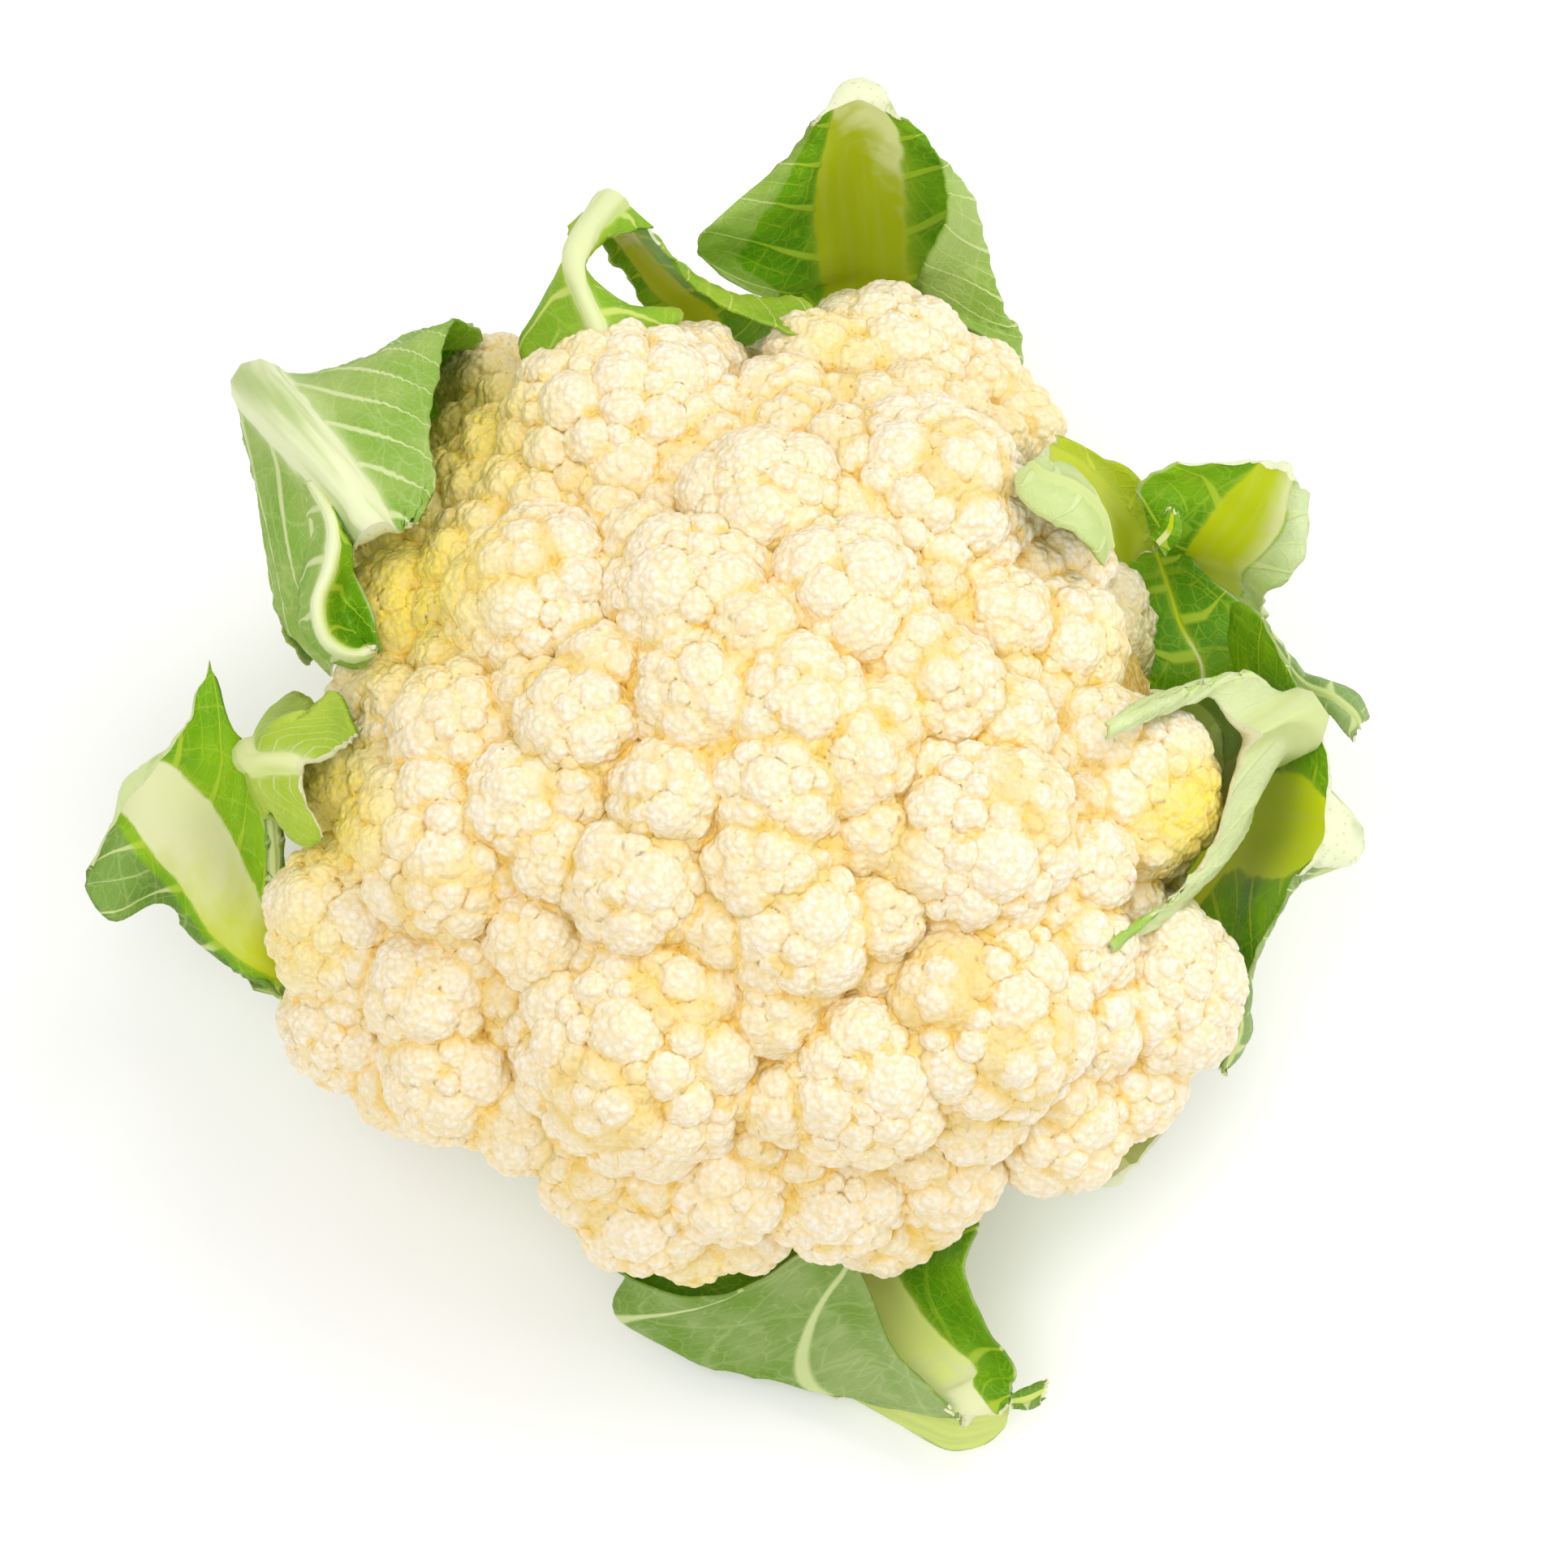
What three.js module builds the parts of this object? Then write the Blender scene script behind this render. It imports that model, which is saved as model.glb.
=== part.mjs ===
// Trimmed cauliflower: a white head of packed florets on its cut stalk, with the stubs of its
// wrapper leaves. Units are millimetres, +Z is up, and the origin is the middle of the stalk's cut
// face, on which the head stands. +Y is the back of the head.
import * as THREE from 'three';
import { mergeVertices } from 'three/addons/utils/BufferGeometryUtils.js';

// ---- driving dimensions -------------------------------------------------------------------------

// The head fills an egg-shaped shell round this centre.
const HEAD_CENTRE = new THREE.Vector3(0, 0, 56);
const HEAD_HALF_WIDTH = 87;
const HEAD_HALF_DEPTH = 89;
const HEAD_RISE = 64;
const HEAD_DROP = 34;
// The shell is this much wider at the front rim and narrower at the back one.
const HEAD_TAPER = 0.2;
// The plain core that the florets stand out of.
const CORE_SHRINK = 12;
// Icosahedron edges are cut into this many steps for the head's skin.
const HEAD_STEPS = 21;

// The head's plan leans forward by this angle: a floret or leaf point is given by how far it lies
// across (to the right) and along (up) that leaning plan, measured from the head's centre.
const PLAN_LEAN = THREE.MathUtils.degToRad(25);
const PLAN_UP = new THREE.Vector3(0, Math.cos(PLAN_LEAN), Math.sin(PLAN_LEAN));
const PLAN_OUT = new THREE.Vector3(0, -Math.sin(PLAN_LEAN), Math.cos(PLAN_LEAN));
// The shell's width depends on where it is met, so the meeting place is worked out in rounds.
const MEET_ROUNDS = 12;

// Each floret: across, along, the radius that shows, and how far it stands out of the shell.
const FLORETS = [
  // crown
  [1, 45, 13.5, 4], [-16, 30, 13, 4], [-1, 25, 7, 5], [13, 23, 14, 4], [2, 7, 14.5, 4],
  [25, 21, 8, -2], [-4, 14, 6, 5], [8, -5, 8, 1], [4, 37, 4.5, 6], [-10, 22, 7.5, 3], [-19, 8, 6.5, 1],
  // upper left dome
  [-22, 61, 20.5, -1], [-26, 54, 8.5, 3], [-40, 51, 7.5, -3], [-13, 56, 5.5, 3], [-34, 67, 8, 0],
  [-11, 74, 7.5, -5], [-18, 46, 5.5, -1],
  // left shoulder
  [-37, 28, 16, 1], [-41, 35, 8.5, 2], [-28, 36, 6.5, 2], [-39, 19, 8, 0], [-28, 22, 7, 1],
  [-29, 7, 11.5, 1], [-17, 15, 6, 2], [-14, -4, 9.5, 2], [-10, 6, 6, 3], [-20, -20, 12.5, 1],
  [0, -15, 11, 1], [7, -28, 12.5, -3], [-8, -27, 5.5, -4], [-51, 10, 11, -2], [-3, -5, 7, 1],
  [-47, -15, 18, -1], [-49, -3, 5.5, 3], [-35, -6, 9, 0], [-58, -4, 7.5, -3], [-52, -16, 7, 3],
  [-39, -24, 7, 0],
  // right shoulder
  [29, 46, 20.5, 0], [15, 57, 7.5, 1], [25, 49, 6.5, 4], [22, 37, 7.5, 1], [36, 28, 8, -2],
  [36, 51, 8.5, 3], [27, 27, 6, -1], [32, 13, 8.5, 0], [20, 3, 6.5, -2], [17, -8, 7, -4],
  [36, -10, 17, 1], [27, 0, 7.5, 1], [42, -5, 9.5, 1], [27, -14, 8, 3], [28, -23, 6, 1],
  [52, 38, 9, -9], [50, 23, 11.5, -8.5], [45, 15, 6.5, -4], [62, -1, 15, -7], [58, 5, 8.5, -6],
  [58, -13, 8.5, -5], [66, -8, 8.5, -9],
  // back rim
  [27, 76, 13, -5], [39, 76, 6.5, -7], [11, 77, 8.5, -7], [17, 84, 6.5, -7], [2, 67, 8, -7],
  [45, 66, 9, -8], [-49, 72, 9.5, -8], [-51, 63, 7.5, -8], [-52, 51, 9.5, -8], [-49, 41, 7, -8],
  // left side
  [-62, 26, 12, -8], [-67, 11, 8.5, -9], [-69, -1, 7.5, -9], [-69, -28, 14.5, -4], [-72, -18, 8, -5],
  [-73, -38, 8, -4], [-55, -33, 12.5, -4], [-64, -47, 11, -4], [-50, -50, 11.5, -4],
  [-39, -59, 8, -6], [-48, -59, 6.5, -6],
  // front
  [-19, -47, 21, 0], [-14, -37, 11, 3], [-34, -39, 8, -2], [-21, -46, 6.5, 4], [-1, -44, 7, -1],
  [-16, -56, 11.5, 1], [-33, -51, 8.5, -1], [33, -45, 20.5, 0], [20, -35, 9, 1], [39, -35, 9, 1],
  [21, -47, 7.5, 3], [33, -45, 6.5, 4], [27, -55, 8, 0], [43, -47, 8.5, -1], [8, -54, 8.5, -3],
  // right side
  [51, -27, 8.5, -4], [52, -39, 8, -4], [68, -40, 15, -5], [60, -39, 8.5, -4], [72, -33, 8, 0],
  [74, -45, 8, 0], [51, -60, 11, -4], [64, -54, 9, -5],
  // front foot
  [-19, -73, 12.5, -5], [-24, -68, 7.5, -5], [-13, -80, 8, -7], [-28, -76, 6.5, -8],
  [-4, -69, 10, -5], [-1, -80, 7, -9], [14, -71, 11, -6], [33, -68, 9.5, -7], [21, -80, 7, -9],
  [28, -75, 6.5, -9],
];

// Each leaf grows from the stalk along a stem, given as x, y, z, and opens into rows across its blade.
// A row has the rib's width and thickness, then five points: right margin, right blade, rib, left
// blade and left margin, as seen from the head. Each is across, along and height above the table.
const LEAVES = [
  {
    name: 'leaf_back',
    stemWidth: 11,
    stemThickness: 6,
    stem: [[4.3, 24.8, 9], [8, 56, 13], [12, 80, 26]],
    rows: [
      [17, 6, [50, 73, 50], [47, 81, 48], [20, 89, 46], [9, 92, 47], [5, 94, 48]],
      [19, 6, [31, 88, 68], [46, 87, 60], [20, 97, 59], [3, 97, 60], [-5, 95, 62]],
      [19, 6, [29, 93, 80], [42, 99, 73], [19, 105, 73], [2, 102, 72], [-11, 101, 70]],
      [18, 6, [34, 103, 94], [38, 108, 87], [18, 113, 87], [6, 109, 86], [-3, 105, 82]],
      [16, 5.5, [32, 115, 98], [29, 116, 99], [18, 119, 99], [8, 114, 97], [4, 111, 95]],
      [13, 5, [25, 120, 105], [24, 122, 106], [18, 124, 107], [12, 122, 106], [10, 120, 105]],
    ],
  },
  {
    name: 'leaf_back_small',
    stemWidth: 8,
    stemThickness: 4.5,
    stem: [[-5, 24.2, 17], [-12, 54, 19], [-18, 80, 30]],
    rows: [
      [8, 4, [7, 87, 60], [-1, 86, 54], [-8, 86, 48], [-13, 86, 52], [-16, 87, 58]],
      [8, 4, [8, 89, 76], [-3, 92, 72], [-14, 92, 66], [-21, 93, 66], [-25, 93, 68]],
      [8, 4, [7, 85, 89], [-4, 91, 88], [-20, 100, 84], [-27, 95, 84], [-30, 92, 84]],
      [9, 4, [4, 80, 97], [-9, 92, 99], [-24, 103, 98], [-33, 99, 97], [-36, 92, 95]],
      [8, 3.5, [-14, 83, 111], [-21, 86, 111], [-32, 95, 107], [-37, 89, 103], [-41, 85, 99]],
      [6, 3, [-16, 79, 113], [-23, 81, 113], [-32, 84, 111], [-38, 79, 107], [-42, 78, 103]],
      [5, 2.5, [-24, 76, 113], [-27, 75, 113], [-32, 75, 111], [-35, 73, 109], [-39, 71, 107]],
    ],
  },
  {
    name: 'leaf_left_upper',
    stemWidth: 11,
    stemThickness: 6,
    stem: [[-20.4, 14.7, 9], [-48, 34, 13], [-70, 50, 28]],
    rows: [
      [14, 6, [-55, 82, 58], [-65, 79, 58], [-80, 55, 56], [-88, 38, 54], [-84, 20, 52]],
      [14, 6.5, [-55, 81, 74], [-69, 77, 78], [-87, 67, 78], [-89, 49, 72], [-86, 31, 66]],
      [14, 6, [-57, 80, 88], [-76, 75, 92], [-87, 68, 88], [-88, 59, 88], [-85, 44, 82]],
      [14, 6, [-58, 69, 100], [-68, 67, 100], [-78, 57, 99], [-82, 47, 96], [-82, 32, 86]],
      [14, 6, [-58, 56, 103], [-61, 54, 102], [-70, 48, 101], [-74, 43, 99], [-76, 24, 90]],
      [13, 5.5, [-59, 45, 103], [-61, 43, 102], [-65, 42, 101], [-71, 38, 100], [-67, 23, 92]],
    ],
  },
  {
    name: 'leaf_left_small',
    stemWidth: 7,
    stemThickness: 3.5,
    stem: [[-24.4, 3.8, 18], [-52, 4, 20], [-76, 2, 34]],
    rows: [
      [7, 3.5, [-85, 13, 58], [-88, 9, 57], [-91, 1, 55], [-90, -4, 55], [-88, -8, 57]],
      [7, 3, [-77, 13, 80], [-85, 10, 77], [-89, 4, 75], [-88, -4, 74], [-84, -11, 74]],
      [6, 3, [-74, 15, 88], [-77, 9, 88], [-84, 3, 84], [-83, -4, 82], [-79, -13, 80]],
      [5, 2.5, [-70, 8, 92], [-72, 4, 92], [-79, 2, 88], [-79, -4, 87], [-76, -11, 86]],
    ],
  },
  {
    name: 'leaf_left',
    stemWidth: 12,
    stemThickness: 6,
    stem: [[-23.9, -7.7, 8], [-55, -17, 11], [-78, -25, 22]],
    rows: [
      [19, 6.5, [-87, -18, 46], [-88, -23, 41], [-90, -32, 38], [-89, -38, 36], [-85, -42, 34]],
      [20, 7, [-97, 1, 57], [-97, -10, 47], [-100, -21, 43], [-95, -34, 44], [-93, -39, 40]],
      [19, 7, [-92, 10, 74], [-98, -1, 67], [-104, -12, 62], [-100, -24, 55], [-98, -28, 51]],
      [18, 7, [-97, 22, 82], [-101, 4, 74], [-108, -5, 70], [-111, -15, 64], [-106, -22, 60]],
      [15, 6, [-103, 11, 80], [-107, 1, 76], [-112, -3, 74], [-115, -11, 71], [-120, -19, 66]],
    ],
  },
  {
    name: 'leaf_front',
    stemWidth: 10,
    stemThickness: 5,
    stem: [[8.4, -23.7, 8], [17, -50, 9], [22, -68, 10]],
    rows: [
      [10, 5, [-27, -86, 24], [-13, -87, 14], [17, -86, 13], [30, -82, 22], [40, -77, 34]],
      [11, 5, [-12, -93, 26], [-26, -96, 12], [21, -92, 14], [31, -88, 24], [37, -87, 34]],
      [11, 5.5, [1, -90, 30], [-13, -106, 8], [27, -101, 15], [36, -98, 22], [40, -98, 28]],
      [12, 6, [14, -83, 34], [7, -110, 8], [34, -109, 17], [41, -105, 20], [45, -106, 24]],
      [13, 6, [25, -102, 26], [24, -113, 10], [39, -117, 18], [44, -112, 19], [51, -109, 22]],
    ],
  },
  {
    name: 'leaf_front_right',
    stemWidth: 9,
    stemThickness: 4.5,
    stem: [[17.3, -18.2, 8], [38, -40, 10], [50, -56, 14]],
    rows: [
      [9, 4, [47, -66, 22], [50, -66, 22], [56, -64, 22], [62, -60, 24], [69, -55, 28]],
      [8, 3, [45, -73, 28], [52, -73, 28], [60, -68, 28], [67, -64, 32], [72, -61, 36]],
      [7, 2.5, [53, -74, 32], [58, -74, 32], [64, -72, 33], [70, -68, 36], [73, -63, 40]],
    ],
  },
  {
    name: 'leaf_right_large',
    stemWidth: 12,
    stemThickness: 6,
    stem: [[24.9, -3.4, 8], [56, -7, 10], [78, -9, 20]],
    rows: [
      [18, 6.5, [86, -52, 33], [86, -30, 34], [87, -10, 33], [88, 2, 40], [85, 16, 48]],
      [20, 7, [87, -41, 46], [89, -24, 50], [93, -10, 49], [93, 7, 56], [90, 31, 66]],
      [20, 7, [91, -32, 58], [94, -22, 62], [98, -10, 64], [98, 4, 69], [95, 24, 76]],
      [17, 7, [95, -20, 70], [99, -18, 72], [103, -11, 74], [102, -2, 76], [106, 10, 78]],
    ],
  },
  {
    name: 'leaf_right_pale',
    stemWidth: 7,
    stemThickness: 3.5,
    stem: [[24.3, 4.5, 18], [50, 6, 20], [72, 5, 32]],
    rows: [
      [7, 3.5, [84, -13, 48], [85, -8, 50], [85, -1, 52], [85, 4, 56], [83, 7, 60]],
      [7, 3.5, [73, -28, 76], [84, -13, 66], [88, 4, 70], [87, 14, 78], [77, 13, 84]],
      [6, 3, [61, -29, 83], [81, -15, 74], [89, 9, 80], [84, 17, 86], [61, 9, 104]],
    ],
  },
  {
    name: 'leaf_right',
    stemWidth: 12,
    stemThickness: 6,
    stem: [[22.4, 12.1, 8], [52, 30, 9], [74, 42, 17]],
    rows: [
      [16, 6, [91, 23, 30], [88, 25, 28], [80, 27, 27], [76, 33, 27], [74, 35, 28]],
      [17, 6.5, [94, 29, 50], [92, 33, 48], [84, 35, 46], [77, 40, 48], [75, 43, 50]],
      [17, 7, [93, 32, 64], [97, 39, 66], [89, 43, 67], [81, 47, 70], [71, 50, 72]],
      [16, 7, [98, 37, 74], [99, 45, 78], [93, 49, 79], [85, 52, 80], [76, 57, 82]],
      [12, 6, [99, 46, 82], [99, 51, 86], [95, 54, 87], [90, 55, 86], [82, 53, 86]],
    ],
  },
  {
    name: 'leaf_right_upper',
    stemWidth: 11,
    stemThickness: 5.5,
    stem: [[17.5, 17.5, 16], [43, 39, 18], [61, 49, 30]],
    rows: [
      [15, 5.5, [79, 25, 36], [77, 27, 37], [75, 29, 39], [73, 34, 46], [72, 37, 54]],
      [16, 5, [75, 36, 48], [74, 39, 50], [71, 41, 55], [70, 41, 67], [67, 37, 75]],
      [16, 4.5, [72, 46, 58], [70, 48, 62], [66, 50, 70], [66, 46, 89], [60, 38, 106]],
      [15, 4, [68, 53, 70], [64, 57, 75], [60, 57, 84], [59, 53, 99], [53, 43, 109]],
      [12, 3.5, [59, 58, 82], [57, 59, 86], [54, 59, 93], [52, 55, 102], [48, 50, 110]],
    ],
  },
  {
    name: 'leaf_front_left',
    stemWidth: 11,
    stemThickness: 5,
    stem: [[-15, -20.2, 8], [-30, -42, 11], [-38, -52, 17]],
    rows: [
      [12, 5, [-54, -56, 24], [-49, -60, 22], [-42, -66, 20], [-33, -68, 22], [-27, -69, 24]],
      [11, 4.5, [-54, -56, 30], [-50, -60, 28], [-44, -65, 26], [-38, -68, 28], [-33, -69, 30]],
    ],
  },
];

// A stem's margins lie this much farther out than its rib's sides, and it narrows where it leaves
// the stalk.
const STEM_MARGIN = 1.25;
const STEM_FOOT_SHARE = 0.8;
// The rib takes up no more than this share of the way to the blade's points beside it.
const RIB_SHARE_LIMIT = 0.7;
// How loosely the blade follows its rows from foot to tip, and the steps between two rows.
const LEAF_TENSION = 0.5;
const LEAF_ROW_STEPS = 2;
// The blade's columns, as steps between a row's seven points.
const COLUMN_SPOTS = [0, 0.5, 1, 1.5, 2, 3, 4, 4.5, 5, 5.5, 6];
// For each column, the least depth of the leaf and the rib's share of its own depth.
const BLADE_DEPTHS = [0.8, 1.2, 1.2, 1.2, 1.2, 1.2, 1.2, 1.2, 1.2, 1.2, 0.8];
const RIB_PROFILE = [0, 0, 0, 0.25, 0.75, 1, 0.75, 0.25, 0, 0, 0];
// The margins rise and fall in waves that die out toward the rib.
const WAVE_HEIGHT = 1.3;
const WAVE_TURN = 2.2;
const WAVE_SHARE = [1, 0.5, 0.15, 0, 0, 0, 0, 0, 0.15, 0.5, 1];

// A floret's ball is larger than what shows of it between its neighbours.
const FLORET_SWELL = 1.06;
// A host is this much larger than the floret that sits on it. The floret's middle lies this share of
// its own radius deep in the host, and within this share of the way from the host's middle to there.
const HOST_RATIO = 1.25;
const HOST_REACH = 0.9;
const HOST_SINK = 0.7;

// Florets of this size range fill the back and the underside, which the rows above leave bare. They
// lie a little inside the shell, and none faces farther down than the lowest normal.
const FILL_RADIUS_MIN = 10;
const FILL_RADIUS_MAX = 14.5;
const FILL_TRIES = 420;
const FILL_SINK = 5;
const FILL_LOWEST_NORMAL = -0.72;
// Two florets stand at least this share of their added radii apart.
const FILL_SPACING = 0.66;

// A floret's own ball is this share of its radius; the lumps on it reach the rest.
const FLORET_SHARE = 0.96;
// Lumps stand on every floret whose ball has this radius or more.
const SMALLEST_LUMPED = 13;
// A lump's radius as a share of its floret's, kept between two limits, then varied one by one.
const LUMP_SHARE = 0.34;
const LUMP_MIN = 4.6;
const LUMP_MAX = 7.6;
const LUMP_SMALLER = 0.85;
const LUMP_LARGER = 1.2;
// How deep a lump's middle lies in its floret, how far round the floret the lumps go, and how much
// of the floret's face they cover.
const LUMP_SINK = 0.8;
const LUMP_REACH = THREE.MathUtils.degToRad(105);
const LUMP_COVER = 0.62;
// Any direction that no floret points along, from which the directions across its axis are taken.
const ACROSS_HINT = new THREE.Vector3(0.3, 0.1, 1);

// The stalk's outline from its cut face up, as radius and height.
const STALK_OUTLINE = [
  [0, 0], [23.5, 0], [25, 1.5], [24.5, 12], [23.5, 22], [26, 31], [24, 33.4], [0, 33.4],
];
const STALK_SIDES = 28;

// Spirals turn by this much from one item to the next.
const GOLDEN_ANGLE = Math.PI * (3 - Math.sqrt(5));
// Scattered numbers come from a large multiple of a sine. Those for different florets start this
// many places apart.
const SCATTER_TURN = 12.9898;
const SCATTER_SPREAD = 43758.5453;
const SCATTER_STRIDE = 31;
// Points closer than this are joined into one.
const MERGE_DISTANCE = 1e-5;

// ---- materials ----------------------------------------------------------------------------------

const curdMaterial = new THREE.MeshStandardMaterial({ color: 0xf4e6bf, roughness: 0.6, metalness: 0 });
const stalkMaterial = new THREE.MeshStandardMaterial({ color: 0xdfe6b4, roughness: 0.6, metalness: 0 });
const leafMaterial = new THREE.MeshStandardMaterial({ color: 0x6f9a2c, roughness: 0.5, metalness: 0 });

// ---- the head -----------------------------------------------------------------------------------

// A repeatable number between 0 and 1 for the given whole number.
function scatter(index) {
  const value = Math.sin(index * SCATTER_TURN) * SCATTER_SPREAD;
  return value - Math.floor(value);
}

// The shell's half sizes, drawn in by an amount, on the side where z is.
function shellHalves(z, shrink) {
  const vertical = z >= 0 ? HEAD_RISE : HEAD_DROP;
  return new THREE.Vector3(HEAD_HALF_WIDTH - shrink, HEAD_HALF_DEPTH - shrink, vertical - shrink);
}

// How much wider than its middle the shell is at this place front to back.
function widthFactor(y) {
  return 1 - (HEAD_TAPER * y) / HEAD_HALF_DEPTH;
}

// Outward normal of the shell at an offset from the head's centre.
function shellNormal(offset) {
  const halves = shellHalves(offset.z, 0);
  halves.x *= widthFactor(offset.y);
  return offset.clone().divide(halves).divide(halves).normalize();
}

// Where a line from a plan point, square to the plan, leaves the shell; the rim if it misses.
function meetShell(across, along) {
  const start = new THREE.Vector3(across, 0, 0).addScaledVector(PLAN_UP, along);
  const offset = start.clone();
  for (let round = 0; round < MEET_ROUNDS; round += 1) {
    const halves = shellHalves(offset.z, 0);
    halves.x *= widthFactor(offset.y);
    const from = start.clone().divide(halves);
    const step = PLAN_OUT.clone().divide(halves);
    const middle = -from.dot(step) / step.dot(step);
    const spread = middle * middle - (from.dot(from) - 1) / step.dot(step);
    offset.copy(start).addScaledVector(PLAN_OUT, middle + Math.sqrt(Math.max(spread, 0)));
  }
  return offset;
}

// A floret just under the shell, seen square to the plan: its middle, the way it faces, its radius.
function placeOnShell(across, along, radius, lift) {
  const offset = meetShell(across, along);
  const normal = shellNormal(offset);
  return { centre: offset.addScaledVector(PLAN_OUT, lift - radius), normal, radius };
}

// A floret set into the face of a larger one, its host.
function placeOnHost(across, along, radius, host) {
  const reach = host.radius - HOST_SINK * radius;
  const aside = across - host.across;
  const up = along - host.along;
  const out = Math.sqrt(Math.max(reach * reach - aside * aside - up * up, 0));
  const normal = new THREE.Vector3(aside, 0, 0)
    .addScaledVector(PLAN_UP, up)
    .addScaledVector(PLAN_OUT, out)
    .normalize();
  return { centre: host.centre.clone().addScaledVector(normal, reach), normal, radius };
}

// The florets of the plan. One that lies within a larger one before it sits on that one.
function planFlorets() {
  const florets = [];
  FLORETS.forEach(([across, along, planRadius, lift]) => {
    const radius = planRadius * FLORET_SWELL;
    const host = florets.find((other) => (
      other.radius > HOST_RATIO * radius
      && Math.hypot(across - other.across, along - other.along)
        < HOST_REACH * (other.radius - HOST_SINK * radius)
    ));
    const floret = host
      ? placeOnHost(across, along, radius, host)
      : placeOnShell(across, along, radius, lift);
    florets.push({ ...floret, across, along });
  });
  return florets;
}

// Adds florets to the sides turned away from the plan, wherever there is still room for one.
function fillFlorets(placed) {
  const florets = [...placed];
  for (let index = 0; index < FILL_TRIES; index += 1) {
    const height = 1 - (2 * (index + 0.5)) / FILL_TRIES;
    const ring = Math.sqrt(1 - height * height);
    const turn = index * GOLDEN_ANGLE;
    const radius = THREE.MathUtils.lerp(FILL_RADIUS_MIN, FILL_RADIUS_MAX, scatter(index + 1));
    const direction = new THREE.Vector3(Math.cos(turn) * ring, Math.sin(turn) * ring, height);
    const centre = direction.multiply(shellHalves(height, radius + FILL_SINK));
    centre.x *= widthFactor(centre.y);
    const normal = shellNormal(centre);
    const tooLow = normal.z < FILL_LOWEST_NORMAL;
    const alreadyPlanned = normal.dot(PLAN_OUT) > 0;
    const crowded = florets.some((other) => (
      other.centre.distanceTo(centre) < FILL_SPACING * (other.radius + radius)
    ));
    if (!tooLow && !alreadyPlanned && !crowded) {
      florets.push({ centre, normal, radius });
    }
  }
  return florets;
}

// Two directions across a floret's own axis.
function crossAxes(normal) {
  const first = new THREE.Vector3().crossVectors(normal, ACROSS_HINT).normalize();
  return [first, new THREE.Vector3().crossVectors(normal, first)];
}

// The lumps that stand out of one floret, on a golden-angle spiral round its axis.
function lumpsOn(floret, order) {
  if (floret.radius < SMALLEST_LUMPED) {
    return [];
  }
  const size = THREE.MathUtils.clamp(LUMP_SHARE * floret.radius, LUMP_MIN, LUMP_MAX);
  const cap = 1 - Math.cos(LUMP_REACH);
  const count = Math.round(2 * cap * LUMP_COVER * (floret.radius / size) ** 2);
  const [first, second] = crossAxes(floret.normal);
  const lumps = [];
  for (let index = 0; index < count; index += 1) {
    const lean = 1 - ((index + 0.5) / count) * cap;
    const ring = Math.sqrt(1 - lean * lean);
    const turn = index * GOLDEN_ANGLE + order;
    const variation = scatter(order * SCATTER_STRIDE + index);
    const radius = size * THREE.MathUtils.lerp(LUMP_SMALLER, LUMP_LARGER, variation);
    const direction = floret.normal.clone().multiplyScalar(lean)
      .addScaledVector(first, ring * Math.cos(turn))
      .addScaledVector(second, ring * Math.sin(turn));
    const centre = floret.centre.clone()
      .addScaledVector(direction, floret.radius - LUMP_SINK * radius);
    lumps.push({ centre, radius });
  }
  return lumps;
}

// Furthest reach of a ball along a ray from the head's centre, or 0 where the ray misses it.
function reachOfBall(direction, ball) {
  const along = ball.centre.dot(direction);
  const spread = along * along - ball.centre.lengthSq() + ball.radius * ball.radius;
  return spread < 0 ? 0 : along + Math.sqrt(spread);
}

// The same for the core, whose width depends on how far back the ray meets it.
function reachOfCore(direction) {
  const halves = shellHalves(direction.z, CORE_SHRINK);
  const level = 1 / direction.clone().divide(halves).length();
  halves.x *= widthFactor(direction.y * level);
  return 1 / direction.clone().divide(halves).length();
}

// The head is a ball whose skin is pushed out to whatever lies farthest along each direction.
function makeCurd() {
  const florets = fillFlorets(planFlorets());
  const balls = florets.flatMap((floret, order) => [
    { centre: floret.centre, radius: floret.radius * FLORET_SHARE },
    ...lumpsOn(floret, order),
  ]);
  const sphere = new THREE.IcosahedronGeometry(1, HEAD_STEPS - 1);
  sphere.deleteAttribute('normal');
  sphere.deleteAttribute('uv');
  const geometry = mergeVertices(sphere, MERGE_DISTANCE);
  const places = geometry.attributes.position;
  const direction = new THREE.Vector3();
  for (let index = 0; index < places.count; index += 1) {
    direction.fromBufferAttribute(places, index).normalize();
    const reach = balls.reduce(
      (furthest, ball) => Math.max(furthest, reachOfBall(direction, ball)),
      reachOfCore(direction),
    );
    const point = direction.clone().multiplyScalar(reach).add(HEAD_CENTRE);
    places.setXYZ(index, point.x, point.y, point.z);
  }
  geometry.computeVertexNormals();
  const curd = new THREE.Mesh(geometry, curdMaterial);
  curd.name = 'curd';
  return curd;
}

// ---- leaves -------------------------------------------------------------------------------------

// A point of the leaning plan at a height above the table.
function fromPlan([across, along, height]) {
  const rise = (height - HEAD_CENTRE.z) * Math.sin(PLAN_LEAN);
  return new THREE.Vector3(across, (along - rise) / Math.cos(PLAN_LEAN), height);
}

// Points across a leaf stem: its two margins, its two shoulders and the middle of its rib.
function stemRow(centre, halfWidth) {
  const leftward = new THREE.Vector3(-centre.y, centre.x, 0).normalize();
  const shares = [-STEM_MARGIN, -1, 0, 1, STEM_MARGIN];
  return shares.map((share) => centre.clone().addScaledVector(leftward, share * halfWidth));
}

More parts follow.
